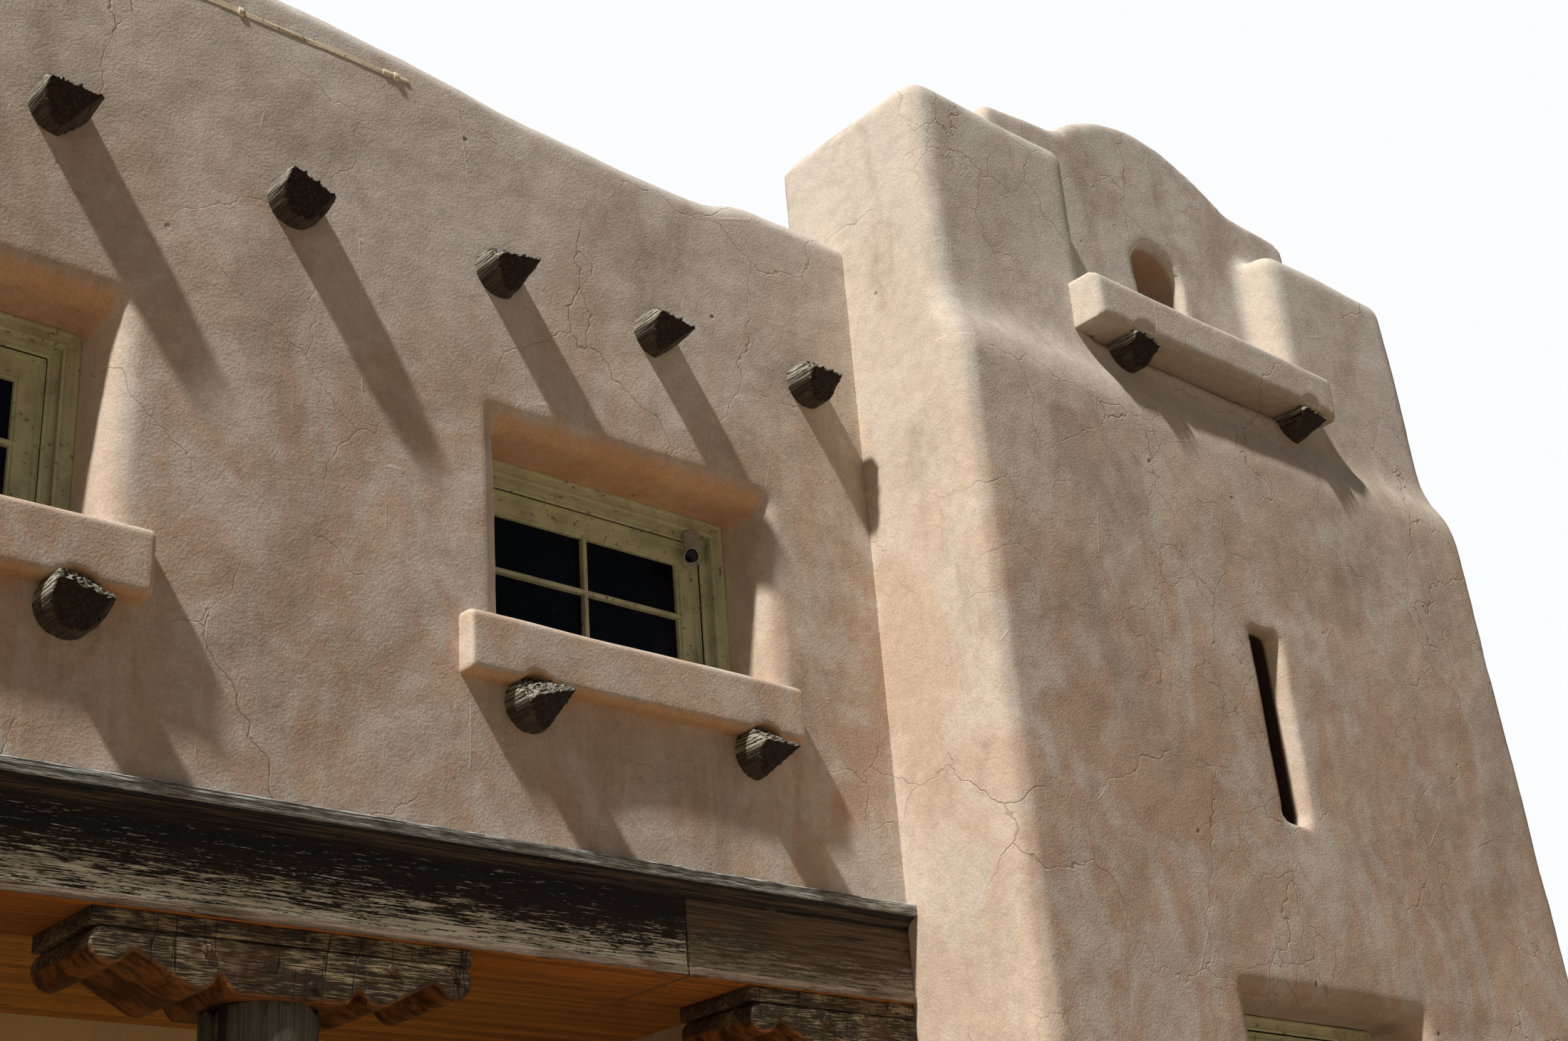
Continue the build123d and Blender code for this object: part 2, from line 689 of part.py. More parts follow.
def roof_vigas():
    """Logs that carry the roof and stand out of both long walls."""
    y0, y1 = face_y - VIGA_PROUD, back_y + VIGA_PROUD
    return Compound(children=[log_y(x, y0, y1, z, VIGA_D) for x, z in viga_places()])


def portal_beam():
    return block(pier_x, tower_x, face_y, inner_front, soffit, wall_foot)


def beam_cap():
    """A board over a hollow moulding along the beam's top edge."""
    z_board = wall_foot - CAP_BOARD
    z_foot = z_board - CAP_COVE
    front = face_y - CAP_PROUD
    cove_front = face_y - CAP_COVE
    cove = ThreePointArc(
        (pier_x, cove_front, z_board),
        (pier_x, face_y - CAP_COVE * (1 - math.sqrt(0.5)), z_foot + CAP_COVE * math.sqrt(0.5)),
        (pier_x, face_y, z_foot),
    )
    rest = Polyline(
        (pier_x, face_y, z_foot),
        (pier_x, face_y, wall_foot),
        (pier_x, front, wall_foot),
        (pier_x, front, z_board),
        (pier_x, cove_front, z_board),
    )
    return extrude(make_face(cove.edges() + rest.edges()), amount=tower_x - pier_x, dir=(1, 0, 0))


def post_middles():
    """Free posts on the grid, and one beside the masonry at each end."""
    free = [-i * BAY for i in range(BAYS_BESIDE_POST)]
    return [tower_x - END_POST_INSET, *free, pier_x + END_POST_INSET]


def portal_posts():
    """Peeled and hewn logs, nearly round."""
    height = soffit - ZAPATA_HEIGHT - FLOOR_TOP
    post = extrude(RegularPolygon(POST_D / 2, POST_SIDES), amount=height)
    return Compound(children=[Pos(x, 0, FLOOR_TOP) * post for x in post_middles()])


def zapata_half():
    """One arm of the carved bracket: a roll at the end, a straight slope, and a lobe beside the seat."""
    half = ZAPATA_LENGTH / 2
    low = soffit - ZAPATA_HEIGHT
    seat = plan_point(ZAPATA_SEAT / 2, low)
    roll = plan_point(half - ROLL_R, soffit - ROLL_DROP)
    shelf = soffit - ZAPATA_END
    roll_top = plan_point(roll.X + math.sqrt(ROLL_R**2 - (shelf - roll.Z) ** 2), shelf)
    diagonal = ROLL_R * math.sqrt(0.5)
    roll_end = plan_point(roll.X - diagonal, roll.Z - diagonal)
    cusp = roll_end + plan_point(-ROLL_CUSP, ROLL_CUSP)
    lobe = plan_point(seat.X + LOBE_FROM_SEAT, low + LOBE_R)
    slope = cusp - lobe
    angle = math.atan2(slope.Z, slope.X) - math.acos(LOBE_R / slope.length)
    lobe_start = lobe + plan_point(LOBE_R * math.cos(angle), LOBE_R * math.sin(angle))
    lobe_end = lobe - plan_point(LOBE_R, 0)
    edges = [
        *Polyline(plan_point(0, soffit), plan_point(half, soffit), plan_point(half, shelf), roll_top).edges(),
        ThreePointArc(roll_top, roll + plan_point(diagonal, -diagonal), roll_end),
        *Polyline(roll_end, cusp, lobe_start).edges(),
        ThreePointArc(lobe_start, lobe - plan_point(0, LOBE_R), lobe_end),
        *Polyline(lobe_end, seat, plan_point(0, low), plan_point(0, soffit)).edges(),
    ]
    return along_y(outline_face(*edges), face_y + ZAPATA_INSET, inner_front - ZAPATA_INSET)


def zapatas():
    """Carved brackets over the posts, cut short where they meet masonry."""
    arm = zapata_half()
    whole = arm + mirror(arm, about=Plane.YZ)
    between = block(pier_x, tower_x, face_y - 1, inner_front + 1, 0, wall_foot)
    return Compound(children=[(Pos(x, 0, 0) * whole & between).solid() for x in post_middles()])


def placed(places, shape):
    return Compound(children=[place * shape for place in places])


def upper_stubs(i, diameter):
    """Two logs under the upper ledge of one window, let into its underside, in the ledge's own frame."""
    half = WINDOW_WIDTH / 2 + SILL_LAP
    z = window_sill - SILL_HEIGHT + STUB_SUNK - STUB_D / 2
    inset_left, inset_right = STUB_INSETS[i % len(STUB_INSETS)]
    return [log_y(x, -STUB_PROUD, STUB_BURIED, z, diameter) for x in (-half + inset_left, half - inset_right)]


def sills(places, wall, *sizes):
    """One plastered ledge under each window of each size."""
    ledges = []
    for i, place in enumerate(sill_places(places)):
        logs = [place * log for log in upper_stubs(i, STUB_D + 2 * SEAT_GAP)]
        for width, z in sizes:
            ledge = place * sill_block(width, z) - wall
            for log in logs:
                ledge -= log
            ledges.append(ledge.solids().sort_by(SortBy.VOLUME)[-1])
    return Compound(children=ledges)


def sill_stubs(places, wall):
    """The stub logs of the upper ledges, where they stand outside the wall."""
    logs = []
    for i, place in enumerate(sill_places(places)):
        for log in upper_stubs(i, STUB_D):
            outside = (place.inverse() * (place * log - wall)).solids().sort_by(Axis.Y)[0]
            logs.append(place * outside)
    return Compound(children=logs)


def door_frame():
    z1 = FLOOR_TOP + DOOR_HEIGHT
    outer = block(-DOOR_WIDTH / 2, DOOR_WIDTH / 2, DOOR_SET_BACK, PORTAL_WALL, FLOOR_TOP, z1)
    half = DOOR_WIDTH / 2 - DOOR_FRAME
    return outer - block(-half, half, 0, PORTAL_WALL + 1, FLOOR_TOP - 1, z1 - DOOR_FRAME)


def door_leaf():
    """Planks side by side, with grooves between them."""
    left = -DOOR_WIDTH / 2 + DOOR_FRAME + SEAT_GAP
    right = DOOR_WIDTH / 2 - DOOR_FRAME - DOOR_GAP
    top = FLOOR_TOP + DOOR_HEIGHT - DOOR_FRAME - DOOR_GAP
    y0 = DOOR_SET_BACK + CASING_DEPTH
    leaf = block(left, right, y0, y0 + DOOR_THICK, FLOOR_TOP + DOOR_GAP, top)
    for i in range(1, DOOR_PLANKS):
        x = left + (right - left) * i / DOOR_PLANKS
        leaf -= block(x - PLANK_GROOVE / 2, x + PLANK_GROOVE / 2, y0 - 1, y0 + PLANK_GROOVE, 0, soffit)
    return leaf


def window_housing():
    """A small hooded cylinder on the jamb's face, inside the right window's casing."""
    x = WINDOW_WIDTH / 2 - CASING - HOUSING_INSET - HOUSING_D / 2
    y = WALL - FRAME_DEPTH + CASING_DEPTH - SEAT_GAP - HOUSING_D / 2
    tube = extrude(RegularPolygon(HOUSING_D / 2, HOUSING_SIDES), amount=HOUSING_LENGTH)
    tube -= extrude(RegularPolygon(HOUSING_BORE / 2, HOUSING_SIDES), amount=HOUSING_LENGTH / 2)
    return front_window_places()[0] * Pos(x, y, window_head - HOUSING_DROP - HOUSING_LENGTH) * tube


def parapet_rod():
    """A thin rod along the wall under the parapet, on short stand-offs."""
    right = ROD_RIGHT_END
    left = right - ROD_LENGTH
    y = face_y - ROD_STAND_OFF
    z = parapet_z - ROD_DROP
    rod = Pos(left, y, z) * Rot(0, 90, 0) * extrude(RegularPolygon(ROD_D / 2, ROD_SIDES), amount=ROD_LENGTH)
    for x in (left + ROD_STAND_OFF_INSET, (left + right) / 2, right - ROD_STAND_OFF_INSET):
        rod += log_y(x, y, face_y, z, ROD_D / 2)
    return rod


def write(name, shape):
    export_step(shape, f"parts/{name}.step")


def main():
    os.makedirs("parts", exist_ok=True)
    shell = wall_shell()
    front, back, tower = front_wall(shell), back_wall(shell), tower_front_wall()
    window = (WINDOW_WIDTH, window_sill, window_head)
    low_window = (LOW_WINDOW_WIDTH, low_sill, low_head)
    tower_window = (TOWER_WINDOW_WIDTH, tower_window_sill, tower_window_head)
    front_places, back_places = front_window_places(), back_window_places()
    portal_places = portal_window_places()
    tower_place = tower_window_place()
    slit_places = [front_slit_place(), *left_slit_places(), *right_slit_places()]

    write("tower_front_wall", tower)
    write("slit_pane", placed(slit_places, slit_pane()))
    write("tower_left_wall", tower_left_wall())
    write("tower_left_pier", tower_left_pier())
    write("tower_right_pier", tower_right_pier())
    write("gable_wall", gable_wall())
    write("tower_ledge", tower_ledge())
    write("ledge_vigas", ledge_vigas(tower))
    write("front_wall", front)
    write("back_wall", back)
    write("left_wall", left_wall(shell))
    write("right_wall", right_wall(shell))
    write("end_pier", end_pier(shell))
    write("portal_wall", portal_wall())
    write("ground_floor", ground_floor())
    write("upper_floor", upper_floor())
    write("portal_ceiling", portal_ceiling())
    write("roof_deck", roof_deck())
    write("roof_vigas", roof_vigas())
    write("portal_beam", portal_beam())
    write("beam_cap", beam_cap())
    write("portal_posts", portal_posts())
    write("zapatas", zapatas())
    write("front_sills", sills(front_places, front, (WINDOW_WIDTH, window_sill)))
    write("front_window_frames", placed(front_places, window_frame(*window)))
    write("front_sashes", placed(front_places, window_sash(*window, 2, 2)))
    write("front_glass", placed(front_places, window_glass(*window)))
    write("front_sill_vigas", sill_stubs(front_places, front))
    write("tower_sill", (tower_place * sill_block(TOWER_WINDOW_WIDTH, tower_window_sill) - tower).solid())
    write("tower_window_frame", tower_place * window_frame(*tower_window))
    write("tower_sash", tower_place * window_sash(*tower_window, 2, 4))
    write("tower_glass", tower_place * window_glass(*tower_window))
    write("back_sills", sills(back_places, back, (WINDOW_WIDTH, window_sill), (LOW_WINDOW_WIDTH, low_sill)))
    write("back_sill_vigas", sill_stubs(back_places, back))
    frames, sashes, panes = [], [], []
    for place in back_places:
        for size, across, up in ((window, 2, 2), (low_window, 2, 3)):
            frames.append(place * window_frame(*size))
            sashes.append(place * window_sash(*size, across, up))
            panes.append(place * window_glass(*size))
    write("back_window_frames", Compound(children=frames))
    write("back_sashes", Compound(children=sashes))
    write("back_glass", Compound(children=panes))
    write("portal_window_frames", placed(portal_places, window_frame(*low_window, PORTAL_WALL)))
    write("portal_sashes", placed(portal_places, window_sash(*low_window, 2, 3, PORTAL_WALL)))
    write("portal_glass", placed(portal_places, window_glass(*low_window, PORTAL_WALL)))
    write("door_frame", door_place() * door_frame())
    write("front_door", door_place() * door_leaf())
    write("window_housing", window_housing())
    write("parapet_rod", parapet_rod())


main()
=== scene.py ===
import json
import math

import bmesh
import bpy
import numpy as np
from bpy.props import FloatProperty, FloatVectorProperty, IntProperty, PointerProperty
from mathutils import Matrix, Vector


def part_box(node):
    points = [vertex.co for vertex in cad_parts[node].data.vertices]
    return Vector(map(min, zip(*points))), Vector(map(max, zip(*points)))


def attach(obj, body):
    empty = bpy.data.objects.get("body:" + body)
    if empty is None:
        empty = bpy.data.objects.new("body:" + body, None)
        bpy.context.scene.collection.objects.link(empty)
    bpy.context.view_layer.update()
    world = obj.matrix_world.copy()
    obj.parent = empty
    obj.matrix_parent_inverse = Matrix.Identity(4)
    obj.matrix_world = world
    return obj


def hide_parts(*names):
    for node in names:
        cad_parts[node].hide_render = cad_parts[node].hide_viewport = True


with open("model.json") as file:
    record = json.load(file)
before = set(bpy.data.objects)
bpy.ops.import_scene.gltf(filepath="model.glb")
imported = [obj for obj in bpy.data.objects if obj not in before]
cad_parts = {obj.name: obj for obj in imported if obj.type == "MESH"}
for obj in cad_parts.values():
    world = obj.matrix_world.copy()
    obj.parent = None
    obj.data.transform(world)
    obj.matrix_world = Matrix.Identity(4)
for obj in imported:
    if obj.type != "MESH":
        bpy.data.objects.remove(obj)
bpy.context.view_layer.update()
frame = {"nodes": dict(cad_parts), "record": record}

bl_info = {
    "name": "Adobe House Finish",
    "version": (1, 0, 0),
    "blender": (4, 5, 0),
    "location": "View3D > Sidebar > Adobe House",
    "description": "Plaster, hewn logs, weathered timber and painted windows for a packed adobe house",
    "category": "Object",
}

# Places that several pieces share, from the frame
FACE_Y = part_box("front_wall")[0].y
BACK_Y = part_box("back_wall")[1].y
TOWER_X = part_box("tower_left_wall")[0].x
BEAM_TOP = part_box("portal_beam")[1].z
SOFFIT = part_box("portal_beam")[0].z

# Sizes that several pieces or materials share
BEAM_JOINT_X = 1.64  # where two of the beam's timbers meet
CAP_BOARD = 0.052  # the board above the hollow moulding
BRACKET_PLANK = 0.058  # the plank on top of each carved bracket
LIP_HEIGHT = 0.040  # the worn lip along the bottom of the beam
HIDDEN_LAP = 0.06  # how far a plaster skin runs on inside its neighbour
SEAM = 0.0002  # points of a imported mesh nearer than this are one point
TOUCH = 0.002  # faces nearer than this to a plane lie on it
REAR_KEEP = 0.35  # share of the faces that the plaster skins away from the front keep
LYING = (math.pi / 2, 0, 0)  # turns an upright primitive so that its axis lies along y

TEXTURES = {}
MATERIALS = {}
SILLS = []


class PlasterSettings(bpy.types.PropertyGroup):
    """Finish of the earth plaster."""

    sunned: FloatVectorProperty(
        name="Sunned plaster", description="Main colour of the walls",
        subtype="COLOR", default=(0.590, 0.474, 0.376), min=0, max=1)
    earth: FloatVectorProperty(
        name="Earth patches", description="Redder colour of the lower walls and repairs",
        subtype="COLOR", default=(0.480, 0.340, 0.255), min=0, max=1)
    pale: FloatVectorProperty(
        name="Washed plaster", description="Pale colour of parapets and of washed clouds",
        subtype="COLOR", default=(0.630, 0.605, 0.560), min=0, max=1)
    front_mesh: FloatProperty(
        name="Front mesh size", description="Size of the faces of the front walls",
        default=0.028, unit="LENGTH")
    rear_mesh: FloatProperty(
        name="Rear mesh size", description="Size of the faces of the side and back walls before thinning",
        default=0.06, unit="LENGTH")
    ledge_mesh: FloatProperty(
        name="Ledge mesh size", description="Size of the faces of the window ledges",
        default=0.014, unit="LENGTH")
    swell: FloatProperty(
        name="Swell", description="Broad unevenness of hand-laid plaster",
        default=0.024, unit="LENGTH")
    ripple: FloatProperty(
        name="Ripple", description="Small unevenness of hand-laid plaster",
        default=0.007, unit="LENGTH")


class TimberSettings(bpy.types.PropertyGroup):
    """Finish of the logs, beam, brackets and posts."""

    weathered: FloatVectorProperty(
        name="Weathered wood", description="Grey of wood that rain reaches",
        subtype="COLOR", default=(0.44, 0.415, 0.315), min=0, max=1)
    stained: FloatVectorProperty(
        name="Old stain", description="Dark stain that still clings to the wood",
        subtype="COLOR", default=(0.007, 0.005, 0.004), min=0, max=1)
    # On the beam's underside this colour is partly painted bounce light
    sheltered: FloatVectorProperty(
        name="Sheltered wood", description="Orange brown of wood that rain does not reach",
        subtype="COLOR", default=(0.46, 0.165, 0.028), min=0, max=1)
    log_mesh: FloatProperty(
        name="Log mesh size", description="Size of the faces of the front log ends",
        default=0.0085, unit="LENGTH")
    rear_log_mesh: FloatProperty(
        name="Rear log mesh size", description="Size of the faces of the rear log ends",
        default=0.018, unit="LENGTH")
    board: FloatProperty(
        name="Ceiling board", description="About how wide a ceiling board is",
        default=0.142, unit="LENGTH")
    end_length: FloatProperty(
        name="Log end length", description="How much of each log end is hewn and checked",
        default=0.30, unit="LENGTH")
    checks: IntProperty(
        name="Drying checks", description="Radial cracks in each log end", default=5, min=0)


class WindowSettings(bpy.types.PropertyGroup):
    """Paint and glass of the windows."""

    paint: FloatVectorProperty(
        name="Window paint", description="Pale green oil paint",
        subtype="COLOR", default=(0.56, 0.57, 0.37), min=0, max=1)
    # Painted shade: the glass colour stands for the dark room behind the panes
    glass: FloatVectorProperty(
        name="Glass", description="Dark room behind old glass",
        subtype="COLOR", default=(0.003, 0.0045, 0.014), min=0, max=1)
    casing: FloatProperty(
        name="Casing", description="Width of the casing", default=0.062, unit="LENGTH")
    casing_depth: FloatProperty(
        name="Casing depth", description="From the casing's face to the jamb", default=0.045, unit="LENGTH")
    jamb: FloatProperty(
        name="Jamb", description="Width of casing and jamb together", default=0.096, unit="LENGTH")
    stile: FloatProperty(
        name="Stile", description="Width of the sash's frame", default=0.078, unit="LENGTH")
    bar: FloatProperty(
        name="Glazing bar", description="Width of a glazing bar", default=0.020, unit="LENGTH")
    bead: FloatProperty(
        name="Bead", description="Width of the small mouldings", default=0.012, unit="LENGTH")
    pane_height: FloatProperty(
        name="Pane height", description="About how high one row of panes stands",
        default=0.53, unit="LENGTH")


class StageSettings(bpy.types.PropertyGroup):
    """Camera, light and floor."""

    eye: FloatVectorProperty(
        name="Eye", description="Where the photograph was taken from", subtype="TRANSLATION",
        default=(-3.35, -6.225, 1.6))
    yaw: FloatProperty(
        name="Yaw", description="Turn of the view to the right",
        subtype="ANGLE", default=math.radians(43.323))
    pitch: FloatProperty(
        name="Pitch", description="Upward tilt of the view", subtype="ANGLE", default=math.radians(25.015))
    roll: FloatProperty(
        name="Roll", description="Lean of the camera", subtype="ANGLE", default=math.radians(4.603))
    lens: FloatProperty(
        name="Lens", description="Focal length in millimetres on a 36 mm wide frame", default=48.31)
    key: FloatProperty(
        name="Key light", description="Strength of the sun, which stands to the upper left", default=5.2)
    fill: FloatProperty(
        name="Fill light", description="Strength of the even light all round", default=0.12)
    floor: FloatVectorProperty(
        name="Floor", description="Pale floor", subtype="COLOR", default=(0.62, 0.59, 0.55), min=0, max=1)
    bounce: FloatVectorProperty(
        name="Floor bounce", description="How the floor colours the light that it throws back",
        subtype="COLOR", default=(0.26, 0.19, 0.12), min=0, max=1)


def select_none():
    bpy.ops.object.select_all(action="DESELECT")


def activate(piece):
    select_none()
    piece.select_set(True)
    bpy.context.view_layer.objects.active = piece


class Editing:
    """Edit mode on one piece, for the length of a with block."""

    def __init__(self, piece):
        self.piece = piece

    def __enter__(self):
        activate(self.piece)
        bpy.ops.object.mode_set(mode="EDIT")
        bpy.ops.mesh.select_all(action="DESELECT")

    def __exit__(self, *_):
        bpy.ops.object.mode_set(mode="OBJECT")


def choose(piece, test, kind="faces"):
    """In edit mode, selects only the faces, edges or vertices that a test picks."""
    bpy.context.tool_settings.mesh_select_mode = (kind == "verts", kind == "edges", kind == "faces")
    bpy.ops.mesh.select_all(action="DESELECT")
    mesh = bmesh.from_edit_mesh(piece.data)
    for part in getattr(mesh, kind):
        if test(part):
            part.select_set(True)
    bmesh.update_edit_mesh(piece.data)


def modify(piece, kind, **settings):
    """Adds a modifier and applies it."""
    activate(piece)
    modifier = piece.modifiers.new(kind.title(), kind)
    for name, value in settings.items():
        setattr(modifier, name, value)
    bpy.ops.object.modifier_apply(modifier=modifier.name)


def join(name, pieces):
    """Joins several pieces into the first, under a name."""
    activate(pieces[0])
    for piece in pieces:
        piece.select_set(True)
    if len(pieces) > 1:
        bpy.ops.object.join()
    pieces[0].name = name
    pieces[0].data.name = name
    return pieces[0]


def apply_place(piece):
    activate(piece)
    bpy.ops.object.transform_apply(location=True, rotation=True, scale=True)


def duplicate(piece, matrix):
    """A copy with its own mesh, put in place by a matrix."""
    copy = bpy.data.objects.new(piece.name, piece.data.copy())
    bpy.context.scene.collection.objects.link(copy)
    copy.matrix_world = matrix
    apply_place(copy)
    return copy


def remove(*pieces):
    for piece in pieces:
        bpy.data.objects.remove(piece)


def finish(piece, material, nodes=(), smooth_angle=None):
    """Gives a finished piece its material, its body and the nodes that it stands for."""
    activate(piece)
    if smooth_angle is None:
        bpy.ops.object.shade_smooth()
    else:
        bpy.ops.object.shade_smooth_by_angle(angle=math.radians(smooth_angle))
    piece.data.materials.clear()
    piece.data.materials.append(MATERIALS[material])
    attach(piece, "root")
    if nodes:
        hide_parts(*nodes)


def node_copy(name, node):
    """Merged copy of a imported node, as a mesh to work on."""
    piece = bpy.data.objects.new(node, frame["nodes"][node].data.copy())
    bpy.context.scene.collection.objects.link(piece)
    join(name, [piece])
    piece.data.materials.clear()
    with Editing(piece):
        bpy.ops.mesh.select_all(action="SELECT")
        bpy.ops.mesh.remove_doubles(threshold=SEAM)
    return piece


def solid_boxes(node):
    """Lowest and highest corner of each separate solid of a node, from left to right."""
    mesh = bmesh.new()
    mesh.from_mesh(frame["nodes"][node].data)
    bmesh.ops.remove_doubles(mesh, verts=mesh.verts[:], dist=SEAM)
    left = set(mesh.verts)
    boxes = []
    while left:
        stack = [left.pop()]
        points = []
        while stack:
            vertex = stack.pop()
            points.append(vertex.co.copy())
            for edge in vertex.link_edges:
                other = edge.other_vert(vertex)
                if other in left:
                    left.discard(other)
                    stack.append(other)
        low = Vector([min(p[i] for p in points) for i in range(3)])
        high = Vector([max(p[i] for p in points) for i in range(3)])
        boxes.append((low, high))
    mesh.free()
    return sorted(boxes, key=lambda box: (round(box[0].x, 3), box[0].z))


def cube(low, high, bevel=0.0, segments=2):
    """A board or block between two corners, with eased edges."""
    low, high = Vector(low), Vector(high)
    bpy.ops.mesh.primitive_cube_add(size=1, location=(low + high) / 2)
    piece = bpy.context.object
    piece.scale = high - low
    apply_place(piece)
    if bevel:
        with Editing(piece):
            bpy.ops.mesh.select_all(action="SELECT")
            bpy.ops.mesh.bevel(offset=bevel, segments=segments, profile=0.6)
    return piece


def cylinder(radius, length, middle, sides, turn=LYING):
    """A round bar about its middle, which lies along y unless it is turned another way."""
    bpy.ops.mesh.primitive_cylinder_add(vertices=sides, radius=radius, depth=length, location=middle,
                                        rotation=turn)
    piece = bpy.context.object
    apply_place(piece)
    return piece


def ring(low, high, member, bevel):
    """A rectangular frame in the x-z plane, as wide as its member on all four sides."""
    piece = cube(low, high)
    with Editing(piece):
        choose(piece, lambda face: abs(face.normal.y) > 0.9)
        bpy.ops.mesh.inset(thickness=member, depth=0, use_individual=True)
        bpy.ops.mesh.bridge_edge_loops()
        choose(piece, lambda edge: edge.is_manifold and edge.calc_face_angle() > 1, "edges")
        bpy.ops.mesh.bevel(offset=bevel, segments=2, profile=0.6)
    return piece


def ease(piece, width):
    """Bevels every sharp edge of a piece."""
    with Editing(piece):
        choose(piece, lambda edge: edge.is_manifold and edge.calc_face_angle() > 0.6, "edges")
        bpy.ops.mesh.bevel(offset=width, segments=2, profile=0.6)


def cut(piece, at, normal, **dropped):
    """Cuts a closed piece by a plane, drops the side that is named and closes the cut."""
    with Editing(piece):
        bpy.ops.mesh.select_all(action="SELECT")
        bpy.ops.mesh.bisect(plane_co=at, plane_no=normal, use_fill=True, **dropped)


def run_cuts(piece, axis, cuts):
    """Cuts a long piece across, at even steps along one axis."""
    def along(edge):
        run = (edge.verts[1].co - edge.verts[0].co).normalized()
        return abs(run[axis]) > 0.99 and edge.calc_length() > 0.3

    with Editing(piece):
        choose(piece, along, "edges")
        bpy.ops.mesh.subdivide(number_cuts=cuts)


def run_on(piece, axis, side, at, reach=HIDDEN_LAP, depth=math.inf):
    """Moves the faces that look one way along an axis, from a plane to a depth past it, further that way."""
    def at_end(face):
        past = (face.calc_center_median()[axis] - at) * side
        return face.normal[axis] * side > 0.99 and -TOUCH < past < depth

    offset = [0, 0, 0]
    offset[axis] = side * reach
    with Editing(piece):
        choose(piece, at_end)
        bpy.ops.transform.translate(value=offset)


def clouds(name, size, depth):
    """Keeps a procedural texture for displacement under its name."""
    texture = bpy.data.textures.new(name, "CLOUDS")
    texture.noise_scale = size
    texture.noise_depth = depth
    TEXTURES[name] = texture


def displace(piece, texture, strength, middle=0.5, **settings):
    modify(piece, "DISPLACE", texture=TEXTURES[texture], strength=strength, mid_level=middle,
           texture_coords="LOCAL", **settings)


def displace_along(piece, axis, share, texture, strength, middle, **settings):
    """Displaces a piece by a texture that is drawn out along one axis, as wood fibres are."""
    scale = [1, 1, 1, 1]
    scale[axis] = share
    squash = Matrix.Diagonal(scale)
    piece.data.transform(squash)
    displace(piece, texture, strength, middle, **settings)
    piece.data.transform(squash.inverted())


def per_vertex(piece, name, count):
    """One number or vector for each vertex of a piece, as rows."""
    values = np.empty(len(piece.data.vertices) * count, np.float32)
    piece.data.vertices.foreach_get(name, values)
    return values.reshape(-1, count)


def store(piece, name, values):
    """Keeps one value for each vertex as an attribute that a material reads."""
    attribute = piece.data.attributes.new(name, "FLOAT", "POINT")
    attribute.data.foreach_set("value", np.asarray(values, np.float32))


def weigh(piece, name, weights):
    """A vertex group that holds each weight above nothing."""
    group = piece.vertex_groups.new(name=name)
    for index in np.nonzero(weights > 0.01)[0]:
        group.add([int(index)], float(weights[index]), "REPLACE")


def viga_plugs(front, back):
    """Closes the roof logs' holes in a wall between two depths, so that the plaster grips the logs."""
    lap = 0.004
    plugs = []
    for low, high in solid_boxes("roof_vigas"):
        middle = (low + high) / 2
        y0, y1 = front + lap, back - lap
        plugs.append(cylinder((high.x - low.x) / 2 + lap, y1 - y0, (middle.x, (y0 + y1) / 2, middle.z), 24))
    return plugs


def seat_casings(piece, frames, face):
    """Draws the plaster's edge back to the outside of each window casing, so that corners stay square."""
    clear, reach = 0.001, 0.05
    points = per_vertex(piece, "co", 3)
    for low, high in solid_boxes(frames):
        depth = np.abs(points[:, 1] - (low.y if face < 0 else high.y))
        sides = np.stack([points[:, 0] - low.x, high.x - points[:, 0],
                          points[:, 2] - low.z, high.z - points[:, 2]])
        covered = (sides.min(axis=0) > -clear) & (depth < reach)
        nearest = sides.argmin(axis=0)
        for index, (axis, edge) in enumerate(((0, low.x), (0, high.x), (2, low.z), (2, high.z))):
            outward = -clear if index % 2 == 0 else clear
            points[covered & (nearest == index), axis] = edge + outward
    piece.data.vertices.foreach_set("co", points.ravel())
    piece.data.update()


def drips_below_ledges(points):
    """How much each point lies in the streak that rain leaves under a ledge."""
    drips = np.zeros(len(points))
    for low, high in SILLS:
        middle, half = (low.x + high.x) / 2, (high.x - low.x) / 2 - 0.05
        across = np.clip((half - abs(points[:, 0] - middle)) / 0.12, 0, 1)
        below = low.z - points[:, 2]
        down = np.clip(below / 0.02, 0, 1) * np.clip((0.75 - below) / 0.5, 0, 1)
        outside = np.clip((low.y + 0.16 - points[:, 1]) / 0.02, 0, 1)
        drips = np.maximum(drips, across * down * outside)
    return drips


def plaster_skin(piece, size, fine=1.0, passes=2, soft=0.6, keep=1.0):
    """Turns copies of walls into one soft, hand-shaped skin, and thins its mesh to a share of its faces."""
    settings = bpy.context.scene.adobe_plaster
    modify(piece, "REMESH", mode="VOXEL", voxel_size=size)
    modify(piece, "SMOOTH", factor=soft, iterations=passes)
    displace(piece, "swell", settings.swell * fine, 0.45)
    displace(piece, "ripple", settings.ripple * fine, 0.45)
    if keep < 1:
        modify(piece, "DECIMATE", ratio=keep)
    store(piece, "drips", drips_below_ledges(per_vertex(piece, "co", 3)))


def post_middles():
    return [(low.x + high.x) / 2 for low, high in solid_boxes("portal_posts")]


